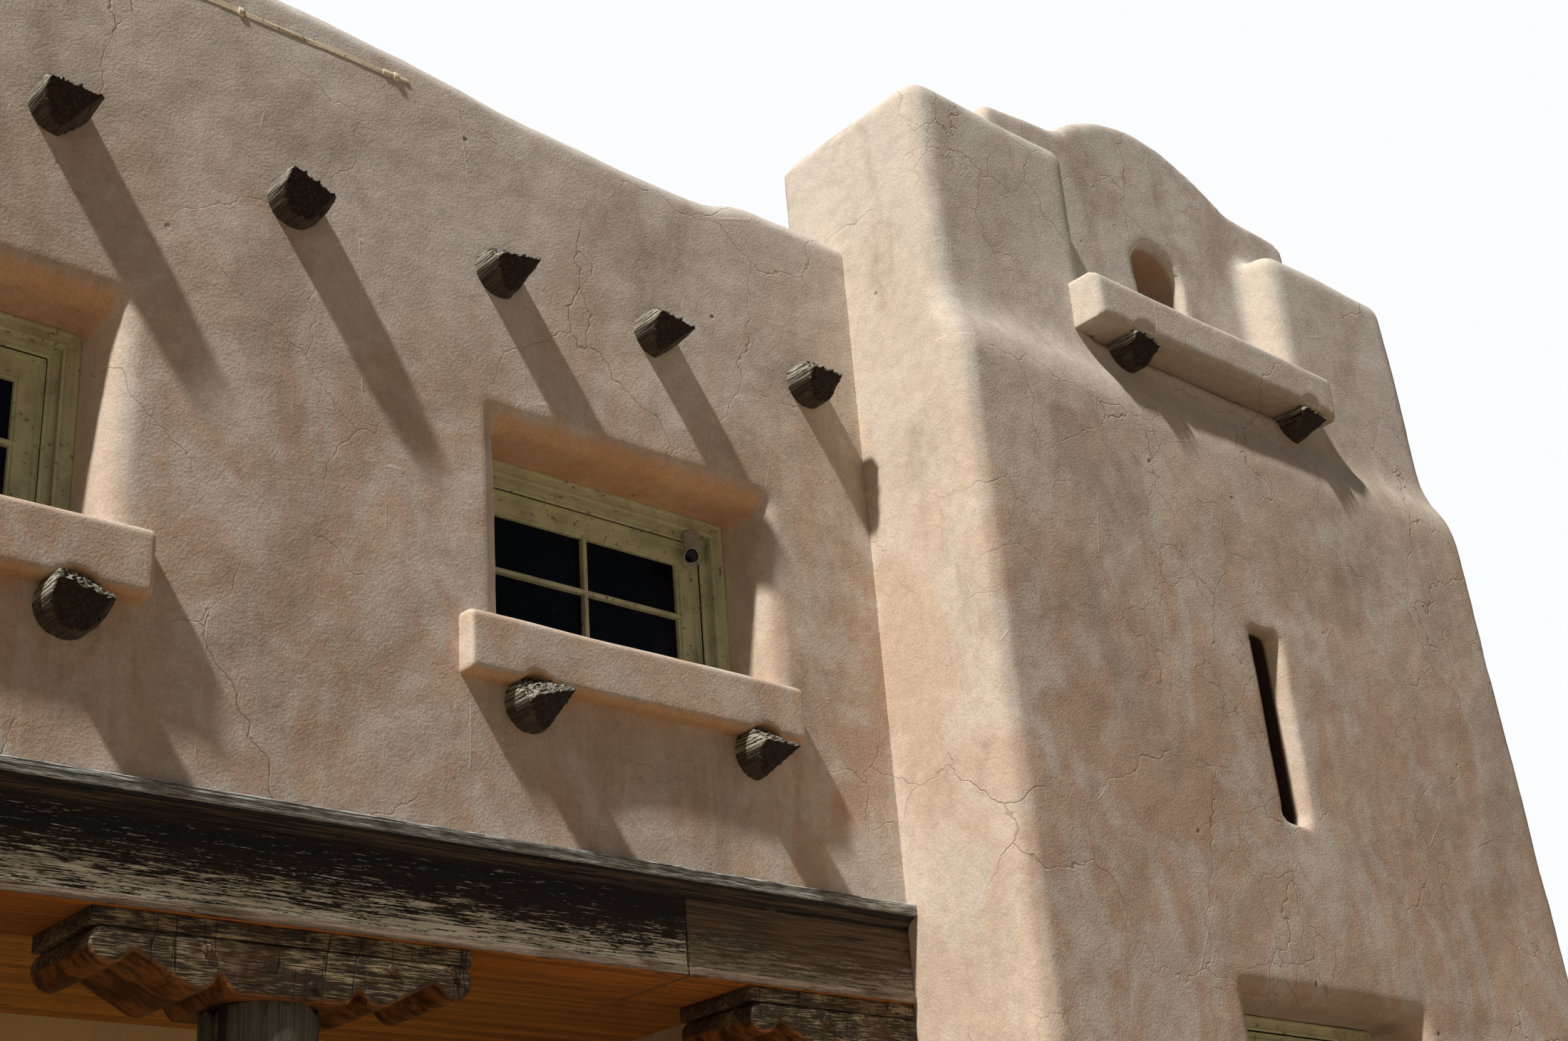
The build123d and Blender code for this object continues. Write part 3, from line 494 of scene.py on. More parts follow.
class Graph:
    """Adds nodes to a node tree and links them."""

    def __init__(self, tree):
        self.tree = tree

    def feed(self, socket, value):
        if isinstance(value, bpy.types.NodeSocket):
            self.tree.links.new(value, socket)
        else:
            socket.default_value = value

    def add(self, kind, inputs=None, **settings):
        made = self.tree.nodes.new("ShaderNode" + kind)
        for name, value in settings.items():
            setattr(made, name, value)
        for name, value in (inputs or {}).items():
            self.feed(made.inputs[name], value)
        return made

    def group(self, name, vector, **values):
        """The outputs of a shared group of nodes."""
        made = self.add("Group")
        made.node_tree = bpy.data.node_groups[name]
        for key, value in {"Vector": vector, **values}.items():
            self.feed(made.inputs[key], value)
        return made.outputs

    def noise(self, vector, scale, detail=3.0, rough=0.5, distort=0.0):
        made = self.add("TexNoise", {"Vector": vector, "Scale": scale, "Detail": detail, "Roughness": rough,
                                     "Distortion": distort})
        return made.outputs["Fac"]

    def cells(self, vector, scale, feature="F1"):
        made = self.add("TexVoronoi", {"Vector": vector, "Scale": scale}, feature=feature)
        return made.outputs["Distance"]

    def map(self, vector, scale=(1, 1, 1), move=(0, 0, 0), turn=(0, 0, 0)):
        made = self.add("Mapping", {"Vector": vector, "Scale": scale, "Location": move, "Rotation": turn})
        return made.outputs["Vector"]

    def axes(self, vector):
        return self.add("SeparateXYZ", {"Vector": vector}).outputs

    def math(self, operation, a, b=0.0):
        made = self.add("Math", operation=operation)
        self.feed(made.inputs[0], a)
        self.feed(made.inputs[1], b)
        return made.outputs[0]

    def plus(self, a, b):
        return self.math("ADD", a, b)

    def minus(self, a, b):
        return self.math("SUBTRACT", a, b)

    def times(self, a, b):
        return self.math("MULTIPLY", a, b)

    def larger(self, a, b):
        return self.math("MAXIMUM", a, b)

    def away(self, value, middle):
        """How far a value is from a middle, either way."""
        return self.math("ABSOLUTE", self.minus(value, middle))

    def span(self, value, low, high, start=0.0, end=1.0):
        """Maps a range of a value to another, smoothly."""
        made = self.add("MapRange", {"Value": value, "From Min": low, "From Max": high, "To Min": start,
                                     "To Max": end}, interpolation_type="SMOOTHSTEP")
        return made.outputs["Result"]

    def mix(self, share, a, b, blend="MIX"):
        """Mixes two colours, each a socket or an RGB triple."""
        made = self.add("Mix", data_type="RGBA", blend_type=blend)
        for index, value in ((0, share), (6, shade(a)), (7, shade(b))):
            self.feed(made.inputs[index], value)
        return made.outputs[2]

    def coat(self, colour, mask, share, tint):
        """Lays a tint over a colour where a mask is, up to a share."""
        return self.mix(self.times(mask, share), colour, tint)

    def facing(self, axis):
        """How far the surface looks along one axis of the house."""
        return self.axes(self.add("NewGeometry").outputs["Normal"])[axis]

    def surface(self, shader, colour, height, relief):
        """Gives a shader its colour, and a height that is as deep as its relief."""
        self.feed(shader.inputs["Base Color"], colour)
        bump = self.add("Bump", {"Height": height, "Distance": relief})
        self.feed(shader.inputs["Normal"], bump.outputs["Normal"])


def shade(colour):
    """A colour as a socket value, from an RGB triple, or a socket as it is."""
    return colour if isinstance(colour, bpy.types.NodeSocket) else (*colour, 1.0)


def darker(colour, share):
    return [part * share for part in colour]


def new_group(name, inputs, outputs, build):
    """A shader node group with a vector input, named float inputs and float outputs."""
    tree = bpy.data.node_groups.new(name, "ShaderNodeTree")
    tree.interface.new_socket("Vector", in_out="INPUT", socket_type="NodeSocketVector")
    for key, default in inputs.items():
        tree.interface.new_socket(key, in_out="INPUT", socket_type="NodeSocketFloat").default_value = default
    for key in outputs:
        tree.interface.new_socket(key, in_out="OUTPUT", socket_type="NodeSocketFloat")
    start, end = tree.nodes.new("NodeGroupInput"), tree.nodes.new("NodeGroupOutput")
    results = build(Graph(tree), start.outputs["Vector"], start.outputs)
    for key, value in zip(outputs, results):
        tree.links.new(value, end.inputs[key])


def float_marks(graph, vector, _):
    """Sand grains, float swirls and the lips that a trowel leaves."""
    grains = graph.noise(graph.map(vector, turn=(0.7, 0.4, 0.9)), 260, 2, 0.6)
    sand = graph.noise(graph.map(vector, turn=(0.6, 0.8, 0.5)), 95, 2, 0.5)
    swirl = graph.noise(graph.map(vector, (1, 1, 1.3), turn=(0.6, 0.5, 0.8)), 15, 4, 0.6, 0.3)
    edge = graph.cells(graph.map(vector, (1, 1, 0.4), turn=(0, 0.3, 0)), 1.9, "DISTANCE_TO_EDGE")
    some = graph.span(graph.noise(graph.map(vector, move=(4, 2, 9)), 3.2, 3), 0.56, 0.62)
    lip = graph.times(graph.span(edge, 0.0, 0.008, 1, 0), some)
    fine = graph.plus(graph.times(grains, 0.14), graph.times(sand, 0.34))
    broad = graph.plus(graph.times(swirl, 0.30), graph.times(lip, 0.16))
    return [graph.plus(fine, broad)]


def stains(graph, vector, _):
    """Broad patches, small clouds and vertical wash streaks."""
    broad = graph.map(vector, (1, 1, 0.7))
    small = graph.map(vector, (1, 1, 0.6), move=(3, 1, 7))
    long = graph.map(vector, (1, 1, 0.08))
    patch = graph.span(graph.noise(broad, 1.05, 6, 0.62, 0.6), 0.40, 0.60)
    cloud = graph.span(graph.noise(small, 2.7, 7, 0.68, 0.8), 0.43, 0.61)
    streak = graph.span(graph.noise(long, 6.5, 5, 0.66, 0.3), 0.48, 0.70)
    some = graph.span(graph.noise(vector, 1.1, 3), 0.42, 0.58)
    return patch, cloud, graph.times(streak, some)


def hairlines(graph, vector, given):
    """Fine shrinkage cracks in a wandering net."""
    shift = graph.add("TexNoise", {"Vector": vector, "Scale": 5.0, "Detail": 3.0}).outputs["Color"]
    bend = graph.add("Mix", data_type="VECTOR")
    for index, value in ((0, 0.16), (4, vector), (5, shift)):
        graph.feed(bend.inputs[index], value)
    edge = graph.cells(bend.outputs[1], given["Scale"], "DISTANCE_TO_EDGE")
    some = graph.span(graph.noise(vector, 0.9, 3), 0.47, 0.62)
    return [graph.times(graph.span(edge, 0.0, given["Width"], 1, 0), some)]


def pits(graph, vector, given):
    """Small chips and nail holes."""
    spot = graph.span(graph.cells(vector, given["Scale"]), 0.03, 0.075, 1, 0)
    some = graph.span(graph.noise(vector, 2.5, 2), 0.55, 0.62)
    return [graph.times(spot, some)]


def long_grain(graph, vector, given):
    """Wood fibres along a vector that is squashed along the grain, and the splits between them."""
    fibre = graph.noise(vector, given["Scale"], 5, 0.65, 0.25)
    band = graph.noise(vector, graph.times(given["Scale"], 0.22), 3, 0.5, 0.4)
    ridge = graph.away(graph.noise(vector, graph.times(given["Scale"], 0.5), 2, 0.5), 0.5)
    split = graph.times(graph.span(ridge, 0.0, 0.014, 1, 0), graph.span(band, 0.45, 0.6))
    return fibre, band, split


def make_groups():
    new_group("Float Marks", {}, ["Height"], float_marks)
    new_group("Stains", {}, ["Patch", "Cloud", "Streak"], stains)
    new_group("Hairlines", {"Scale": 1.4, "Width": 0.006}, ["Line"], hairlines)
    new_group("Pits", {"Scale": 6.0}, ["Pit"], pits)
    new_group("Long Grain", {"Scale": 60.0}, ["Fibre", "Band", "Split"], long_grain)


def new_material(name, roughness, gloss=0.22):
    """A new material's graph and shader, and the object's own coordinates."""
    material = bpy.data.materials.new(name)
    material.use_nodes = True
    shader = material.node_tree.nodes["Principled BSDF"]
    shader.inputs["Specular IOR Level"].default_value = gloss
    shader.inputs["Roughness"].default_value = roughness
    MATERIALS[name] = material
    graph = Graph(material.node_tree)
    return graph, shader, graph.add("TexCoord").outputs["Object"]


def within(graph, value, low, high, edge):
    """One between two bounds, falling to nothing over an edge outside them."""
    middle, half = (low + high) / 2, (high - low) / 2
    return graph.span(graph.away(value, middle), half + edge, half)


def inside(graph, place, low, high, edge):
    """One inside a box of the house, falling to nothing over an edge outside it."""
    across = within(graph, place["X"], low.x, high.x, edge)
    deep = within(graph, place["Y"], low.y, high.y, edge)
    upright = within(graph, place["Z"], low.z, high.z, edge)
    return graph.times(graph.times(across, deep), upright)


def inside_slit_shade(graph, place):
    """The depth of the tower's narrow slit, where the plaster is painted near black as shade."""
    low, high = min(solid_boxes("slit_pane"), key=lambda box: box[0].y)
    return inside(graph, place, low - Vector((0.09, 0.06, 0.02)), high + Vector((0.09, 0.10, 0.02)), 0.020)


def inside_arch_shade(graph, place):
    """The depth of the gable's arched opening, where the plaster is painted a dark red-brown as shade."""
    left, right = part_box("tower_left_pier")[1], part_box("tower_right_pier")[0]
    middle = (left.x + right.x) / 2
    front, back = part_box("gable_wall")
    low = Vector((middle - 0.26, front.y + 0.07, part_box("tower_ledge")[1].z - 0.1))
    return inside(graph, place, low, Vector((middle + 0.30, back.y - 0.03, left.z)), 0.04)


# Colours of the earth plaster besides those in its settings
WASH_STREAK = (0.62, 0.55, 0.46)
# Painted light on the faces that look left, towards the sun
SUNLIT_SIDE_PAINTED_LIGHT = (0.72, 0.57, 0.42)
GREY_BROWN = (0.40, 0.315, 0.245)
LEDGE_DRIP = (0.56, 0.50, 0.43)
WORN_EDGE = (0.74, 0.64, 0.50)
# Painted shade, with grime, in concave creases
CREASE_SHADE_AND_GRIME = (0.27, 0.17, 0.11)
# Painted light on faces that look down: orange bounce light under the main walls, painted shade under the
# tower
WALL_UNDERSIDE_BOUNCE_LIGHT = (0.56, 0.29, 0.115)
TOWER_UNDERSIDE_SHADE = (0.25, 0.195, 0.150)
CRACK = (0.20, 0.125, 0.08)
CHIP = (0.09, 0.06, 0.045)
# Painted shade in the depth of the tower's slit
SLIT_PAINTED_SHADE = (0.030, 0.016, 0.009)
# Painted shade, dark red-brown, inside the gable's arch
ARCH_PAINTED_SHADE = (0.33, 0.185, 0.095)


def plaster_washes(graph, vector, place):
    """The plaster as rain and sun leave it: redder low down, paler at the top, with patches and streaks, and
    painted light on the faces that look towards the sun.
    """
    settings = bpy.context.scene.adobe_plaster
    stain = graph.group("Stains", vector)
    z = graph.plus(place["Z"], graph.times(graph.noise(vector, 0.7, 3), 1.6))
    colour = graph.coat(settings.sunned, stain["Patch"], 0.75, settings.earth)
    colour = graph.coat(colour, graph.span(z, 6.1, 4.7), 0.45, settings.earth)
    colour = graph.coat(colour, graph.span(z, 6.0, 8.4), 0.85, settings.pale)
    colour = graph.coat(colour, stain["Cloud"], 0.60, settings.pale)
    colour = graph.coat(colour, stain["Streak"], 0.55, WASH_STREAK)
    # Painted light: faces that look left, towards the sun, are lightened
    colour = graph.coat(colour, graph.span(graph.facing("X"), -0.35, -0.9), 0.35, SUNLIT_SIDE_PAINTED_LIGHT)
    smudge = graph.noise(graph.map(vector, (1, 1, 0.5), move=(8, 4, 1)), 1.7, 7, 0.68, 0.5)
    colour = graph.coat(colour, graph.span(smudge, 0.50, 0.68), 0.62, GREY_BROWN)
    drips = graph.add("Attribute", attribute_name="drips").outputs["Fac"]
    runs = graph.span(graph.noise(graph.map(vector, (1, 1, 0.05)), 16, 4, 0.6), 0.46, 0.64)
    return graph.coat(colour, graph.times(drips, runs), 0.55, LEDGE_DRIP)


def plaster_material():
    """Weathered earth plaster, worn at its edges, gritty, cracked and chipped."""
    graph, shader, vector = new_material("earth_plaster", 0.9)
    place = graph.axes(vector)
    tower = graph.span(place["X"], TOWER_X - 0.02, TOWER_X + 0.02)
    colour = plaster_washes(graph, vector, place)
    bend = graph.add("NewGeometry").outputs["Pointiness"]
    colour = graph.coat(colour, graph.span(bend, 0.515, 0.57), 0.45, WORN_EDGE)
    # Painted shade and grime: concave creases, where pointiness is low, are darkened
    colour = graph.coat(colour, graph.span(bend, 0.485, 0.43), 0.5, CREASE_SHADE_AND_GRIME)
    # Painted light: faces that look down take orange bounce light on the main walls and painted shade on the
    # tower, less so further back
    underside_light_share = graph.times(graph.span(tower, 0, 1, 0.62, 0.45), graph.span(place["Y"], 1.5, 0.5, 0.2, 1.0))
    under = graph.span(graph.facing("Z"), -0.2, -0.75)
    colour = graph.coat(colour, under, underside_light_share, graph.mix(tower, WALL_UNDERSIDE_BOUNCE_LIGHT, TOWER_UNDERSIDE_SHADE))
    marks = graph.group("Float Marks", vector)["Height"]
    grit = graph.span(marks, 0.27, 0.51, 0.86, 1.10)
    grey = graph.add("CombineColor", {"Red": grit, "Green": grit, "Blue": grit}).outputs[0]
    colour = graph.mix(1.0, colour, grey, "MULTIPLY")
    crack = graph.group("Hairlines", vector, Scale=1.6, Width=0.006)["Line"]
    fine = graph.group("Hairlines", graph.map(vector, move=(5, 3, 2)), Scale=3.4, Width=0.013)["Line"]
    fine = graph.times(fine, graph.times(tower, 0.45))
    colour = graph.mix(graph.larger(graph.times(crack, 0.40), fine), colour, CRACK)
    pit = graph.group("Pits", vector, Scale=5.0)["Pit"]
    colour = graph.coat(colour, pit, 0.75, CHIP)
    # Painted shade: the depth of the slit is near black
    colour = graph.mix(inside_slit_shade(graph, place), colour, SLIT_PAINTED_SHADE)
    # Painted shade: the inside of the arch is darkened to red-brown
    colour = graph.coat(colour, inside_arch_shade(graph, place), 0.75, ARCH_PAINTED_SHADE)
    cuts = graph.plus(graph.times(graph.larger(crack, fine), 0.4), pit)
    graph.surface(shader, colour, graph.minus(marks, cuts), 0.005)


def cream_plaster_material():
    """Smooth cream plaster under the portal, scuffed low down."""
    graph, shader, vector = new_material("cream_plaster", 0.85)
    stain = graph.group("Stains", vector)
    colour = graph.coat((0.70, 0.58, 0.33), stain["Patch"], 0.5, (0.60, 0.48, 0.26))
    colour = graph.coat(colour, stain["Streak"], 0.3, (0.45, 0.35, 0.22))
    scuff = graph.span(graph.plus(graph.axes(vector)["Z"], graph.noise(vector, 3)), 1.4, 0.6)
    colour = graph.coat(colour, scuff, 0.5, (0.33, 0.24, 0.15))
    graph.surface(shader, colour, graph.group("Float Marks", vector)["Height"], 0.0025)


# The dark line of a split in wood
SPLIT = (0.008, 0.006, 0.005)


def wood_material(name, axis_scale, weathered, stained, sheltered, cling, shelter_below, rough=0.75,
                  relief=0.004, fineness=55.0):
    """Weathered wood: grey where rain reaches, old dark stain in patches, warm brown on sheltered faces."""
    graph, shader, vector = new_material(name, rough)
    run = graph.map(vector, axis_scale)
    grain = graph.group("Long Grain", run, Scale=fineness)
    colour = graph.mix(graph.span(grain["Fibre"], 0.35, 0.65), darker(weathered, 0.45), weathered)
    patch = graph.noise(graph.map(vector, axis_scale, move=(2, 5, 1)), 7, 5, 0.6)
    fleck = graph.noise(run, 24, 4, 0.7)
    keep = graph.span(graph.plus(patch, graph.times(fleck, 0.7)), cling, cling + 0.13)
    colour = graph.coat(colour, keep, 0.92, stained)
    under = graph.span(graph.facing("Z"), -0.1, -0.6)
    tone = graph.mix(graph.span(grain["Band"], 0.35, 0.65), darker(sheltered, 0.5), sheltered)
    colour = graph.coat(colour, under, shelter_below, tone)
    colour = graph.mix(grain["Split"], colour, SPLIT)
    height = graph.minus(graph.times(grain["Fibre"], 0.8), graph.times(grain["Split"], 1.2))
    graph.surface(shader, colour, height, relief)


def log_material():
    """Hewn log: pale ridged sides with black grooves, darkened with painted shade where they look down and
    dulled with painted shade where they look up, and a near-black chopped end.
    """
    graph, shader, _ = new_material("hewn_log", 0.88)
    vector = graph.add("Attribute", attribute_name="grain").outputs["Vector"]
    ridge = graph.noise(graph.map(vector, (1, 0.05, 1)), 115, 2, 0.6, 0.2)
    weather = graph.span(graph.noise(vector, 9, 4, 0.6), 0.38, 0.62)
    pale = graph.mix(weather, (0.22, 0.20, 0.155), (0.42, 0.40, 0.32))
    sides = graph.mix(graph.span(ridge, 0.44, 0.50), (0.018, 0.014, 0.010), pale)
    # Painted shade: faces of the log sides that look down are darkened
    sides = graph.coat(sides, graph.span(graph.facing("Z"), 0.10, -0.45), 0.88, (0.040, 0.029, 0.020))
    # Painted shade: faces that look up are dulled so that the light does not make them shine
    sides = graph.mix(graph.span(graph.facing("Z"), 0.35, 0.75, 0.0, 0.7), sides, (0.11, 0.10, 0.078))
    across = graph.axes(vector)
    around = graph.add("CombineXYZ", {"X": graph.math("ARCTAN2", across["Z"], across["X"])}).outputs[0]
    checks = graph.span(graph.noise(around, 3.4, 4, 0.7), 0.54, 0.60)
    chips = graph.noise(graph.map(vector, (1, 0.6, 1)), 95, 5, 0.7, 0.5)
    end = graph.mix(graph.span(chips, 0.42, 0.66), (0.006, 0.004, 0.003), (0.046, 0.030, 0.017))
    end = graph.coat(end, checks, 0.75, (0.004, 0.003, 0.002))
    cut_end = graph.add("Attribute", attribute_name="cut_end").outputs["Fac"]
    height = graph.plus(graph.times(graph.minus(1.0, cut_end), ridge), graph.times(chips, 0.35))
    graph.surface(shader, graph.mix(cut_end, sides, end), height, 0.006)


def peeled_wood_material():
    """The beam: dark old paint that has peeled off in fine dashes, more so low down, and a plainer timber
    beyond the joint."""
    timber = bpy.context.scene.adobe_timber
    graph, shader, vector = new_material("peeled_wood", 0.8)
    place = graph.axes(vector)
    grain = graph.group("Long Grain", graph.map(vector, (0.03, 1, 1)), Scale=80.0)
    fibre, band = grain["Fibre"], grain["Band"]
    dashes = graph.noise(graph.map(vector, (0.045, 1, 1)), 190, 3, 0.66)
    specks = graph.noise(graph.map(vector, (0.14, 1, 1), move=(3, 0, 5)), 380, 2, 0.6)
    patch = graph.noise(graph.map(vector, (0.5, 1, 1.6)), 2.6, 5, 0.6)
    value = graph.plus(graph.times(dashes, 0.72), graph.times(specks, 0.28))
    value = graph.plus(value, graph.times(patch, 0.30))
    rise = graph.span(place["Z"], SOFFIT + 0.04, SOFFIT + 0.24)
    peeled = graph.span(graph.minus(value, graph.times(rise, 0.185)), 0.572, 0.622)
    bare = graph.mix(graph.span(fibre, 0.38, 0.62), darker(timber.weathered, 0.8), (0.74, 0.73, 0.60))
    old = graph.mix(graph.span(band, 0.4, 0.62), timber.stained, (0.022, 0.012, 0.007))
    brown = graph.mix(graph.span(fibre, 0.36, 0.64), (0.065, 0.044, 0.028), (0.155, 0.110, 0.070))
    brown = graph.coat(brown, peeled, 0.35, bare)
    plain = graph.span(place["X"], BEAM_JOINT_X - 0.001, BEAM_JOINT_X + 0.001)
    colour = graph.mix(plain, graph.mix(peeled, old, bare), brown)
    lip = graph.span(place["Z"], SOFFIT + LIP_HEIGHT + 0.002, SOFFIT + LIP_HEIGHT - 0.004)
    worn = graph.mix(graph.span(fibre, 0.34, 0.66), (0.15, 0.10, 0.07), (0.33, 0.25, 0.18))
    colour = graph.coat(colour, lip, 0.85, worn)
    # Partly painted bounce light: faces that look down take the orange brown of sheltered wood, which also
    # stands for light thrown up from the ground
    warm = graph.mix(graph.span(band, 0.35, 0.65), darker(timber.sheltered, 0.55), timber.sheltered)
    colour = graph.mix(graph.span(graph.facing("Z"), -0.5, -0.9), colour, warm)
    colour = graph.mix(grain["Split"], colour, SPLIT)
    height = graph.plus(graph.times(fibre, 0.5), graph.times(peeled, -0.35))
    graph.surface(shader, colour, graph.minus(height, grain["Split"]), 0.005)


def cap_wood_material():
    """The cap: a blue-grey board over a dark brown hollow moulding."""
    graph, shader, vector = new_material("cap_wood", 0.78)
    seam_z = BEAM_TOP - CAP_BOARD
    z = graph.axes(vector)["Z"]
    grain = graph.group("Long Grain", graph.map(vector, (0.03, 1, 1)), Scale=95.0)
    dashes = graph.noise(graph.map(vector, (0.05, 1, 1)), 230, 4, 0.7)
    board = graph.mix(graph.span(dashes, 0.42, 0.60), (0.14, 0.14, 0.135), (0.58, 0.61, 0.59))
    worn = graph.noise(graph.map(vector, (0.6, 1, 1)), 5, 5, 0.65)
    board = graph.mix(graph.span(worn, 0.50, 0.64, 0, 0.55), board, (0.12, 0.105, 0.085))
    shelf = graph.span(z, seam_z - 0.055, seam_z - 0.01)
    hollow = graph.mix(shelf, (0.022, 0.016, 0.012), (0.115, 0.090, 0.062))
    hollow = graph.mix(graph.span(grain["Fibre"], 0.40, 0.62), (0.012, 0.009, 0.007), hollow)
    colour = graph.mix(graph.span(z, seam_z - 0.001, seam_z + 0.001), hollow, board)
    crease = graph.span(graph.away(z, seam_z), 0.0, 0.006, 1, 0)
    colour = graph.mix(graph.larger(crease, grain["Split"]), colour, (0.008, 0.007, 0.006))
    height = graph.minus(graph.times(dashes, 0.7), graph.plus(crease, grain["Split"]))
    graph.surface(shader, colour, height, 0.004)


def carved_wood_material():
    """The brackets: dark weathered fronts with pale grain and adze strokes, and warm brown undersides."""
    graph, shader, vector = new_material("carved_wood", 0.62)
    grain = graph.group("Long Grain", graph.map(vector, (0.05, 1, 1)), Scale=85.0)
    dashes = graph.noise(graph.map(vector, (0.05, 1, 1), move=(1, 2, 3)), 250, 4, 0.7)
    patch = graph.noise(graph.map(vector, (0.8, 1, 1.3)), 7, 5, 0.62, 0.5)
    bare = graph.span(graph.plus(graph.times(dashes, 0.75), graph.times(patch, 0.40)), 0.555, 0.715)
    front = graph.mix(bare, (0.032, 0.021, 0.012), (0.40, 0.325, 0.190))
    rusty = graph.span(graph.noise(graph.map(vector, move=(6, 1, 2)), 6, 4, 0.6), 0.52, 0.64)
    front = graph.coat(front, rusty, 0.5, (0.085, 0.038, 0.018))
    slant = graph.noise(graph.map(vector, (1, 0.15, 0.10), turn=(0, 0.36, 0)), 15, 2, 0.4)
    some = graph.span(graph.noise(graph.map(vector, move=(2, 7, 3)), 4.5, 3), 0.46, 0.54)
    stroke = graph.times(graph.span(graph.away(slant, 0.5), 0.0, 0.014, 1, 0), some)
    front = graph.coat(front, stroke, 0.8, (0.010, 0.007, 0.005))
    warm = graph.mix(graph.span(grain["Band"], 0.38, 0.62), (0.060, 0.020, 0.006), (0.27, 0.105, 0.026))
    plank_z = SOFFIT - BRACKET_PLANK
    below_plank = graph.span(graph.axes(vector)["Z"], plank_z - 0.004, plank_z - 0.016)
    under = graph.times(graph.span(graph.facing("Z"), -0.05, -0.35), below_plank)
    colour = graph.mix(grain["Split"], graph.mix(under, front, warm), (0.008, 0.006, 0.004))
    graph.feed(shader.inputs["Roughness"], graph.span(graph.facing("Z"), -0.05, -0.35, 0.8, 0.42))
    height = graph.minus(graph.times(grain["Fibre"], 0.5), graph.plus(stroke, grain["Split"]))
    graph.surface(shader, colour, height, 0.005)


def paint_material(name, paint, worn, chip):
    """Oil paint over wood or iron, chipped and a little dusty."""
    graph, shader, vector = new_material(name, 0.42)
    brush = graph.noise(graph.map(vector, (1, 1, 0.1)), 120, 2, 0.5)
    dirt = graph.noise(vector, 9, 5, 0.6)
    colour = graph.mix(graph.span(dirt, 0.40, 0.70), paint, darker(paint, 0.72))
    colour = graph.coat(colour, graph.span(graph.facing("Z"), 0.3, 0.9), 0.6, (0.42, 0.36, 0.27))
    chips = graph.span(graph.noise(vector, 38, 4, 0.6), chip, chip + 0.03)
    colour = graph.coat(colour, chips, 0.8, worn)
    graph.feed(shader.inputs["Roughness"], graph.span(dirt, 0.3, 0.7, 0.35, 0.62))
    graph.surface(shader, colour, graph.minus(brush, graph.times(chips, 0.6)), 0.0008)


def glass_material():
    """Old, dusty glass whose dark colour is painted shade: the dark rooms behind it."""
    glass = bpy.context.scene.adobe_window.glass
    graph, shader, vector = new_material("dusty_glass", 0.09, gloss=0.12)
    haze = graph.span(graph.noise(vector, 1.6, 3), 0.3, 0.8)
    colour = graph.mix(haze, glass, darker(glass, 0.25))
    specks = graph.span(graph.cells(vector, 34), 0.035, 0.06, 1, 0)
    some = graph.span(graph.noise(vector, 6, 2), 0.55, 0.62)
    colour = graph.coat(colour, specks, some, (0.30, 0.27, 0.22))
    graph.feed(shader.inputs["Roughness"], graph.span(graph.noise(vector, 5, 4), 0.3, 0.7, 0.06, 0.22))
    graph.surface(shader, colour, graph.noise(vector, 3.5, 1), 0.004)


def ground_material(name, light, dark, scale, relief):
    """Swept slab or gravel."""
    graph, shader, vector = new_material(name, 0.92)
    stones = graph.cells(vector, scale)
    colour = graph.mix(graph.span(graph.noise(vector, 1.4, 5, 0.6), 0.35, 0.65), light, dark)
    colour = graph.coat(colour, graph.span(stones, 0.1, 0.6), 0.5, darker(dark, 0.55))
    graph.surface(shader, colour, graph.minus(graph.noise(vector, scale * 2, 3), stones), relief)


def make_materials():
    timber = bpy.context.scene.adobe_timber
    plaster_material()
    cream_plaster_material()
    log_material()
    peeled_wood_material()
    cap_wood_material()
    carved_wood_material()
    wood_material("post_wood", (1, 1, 0.035), darker(timber.weathered, 0.30), timber.stained,
                  timber.sheltered, cling=0.86, shelter_below=0.5, relief=0.003, fineness=110.0)
    wood_material("board_wood", (0.04, 1, 1), (0.72, 0.32, 0.065), (0.36, 0.13, 0.020), (0.74, 0.33, 0.070),
                  cling=1.02, shelter_below=0.9, rough=0.6, relief=0.0012)
    wood_material("floor_wood", (0.04, 1, 1), (0.30, 0.18, 0.09), (0.12, 0.07, 0.04), (0.25, 0.14, 0.06),
                  cling=0.98, shelter_below=0.2)
    wood_material("door_wood", (1, 1, 0.05), (0.17, 0.085, 0.04), (0.05, 0.025, 0.014), (0.2, 0.09, 0.03),
                  cling=0.95, shelter_below=0.3, rough=0.5, relief=0.0015)
    paint_material("window_paint", bpy.context.scene.adobe_window.paint, (0.19, 0.14, 0.09), 0.62)
    paint_material("fitting_paint", (0.80, 0.70, 0.54), (0.22, 0.16, 0.10), 0.60)
    paint_material("housing_paint", (0.40, 0.40, 0.34), (0.12, 0.10, 0.08), 0.66)
    paint_material("iron", (0.035, 0.03, 0.028), (0.13, 0.055, 0.025), 0.52)
    glass_material()
    ground_material("slab", (0.36, 0.30, 0.24), (0.25, 0.19, 0.14), 12, 0.003)
    ground_material("gravel", (0.42, 0.36, 0.30), (0.30, 0.24, 0.19), 60, 0.012)


# The finish of each material slot in the record
SLOT_FINISHES = {
    "plaster": "earth_plaster", "portal_plaster": "cream_plaster", "floor_slab": "slab",
    "floor_boards": "floor_wood", "ceiling_boards": "board_wood", "roofing": "gravel",
    "log_wood": "hewn_log", "beam_wood": "peeled_wood", "carved_wood": "carved_wood",
    "frame_paint": "window_paint", "window_glass": "dusty_glass", "door_wood": "door_wood",
    "fitting_paint": "fitting_paint",
}


class HouseOperator:
    """What the operators share."""

    bl_options = {"REGISTER", "UNDO"}


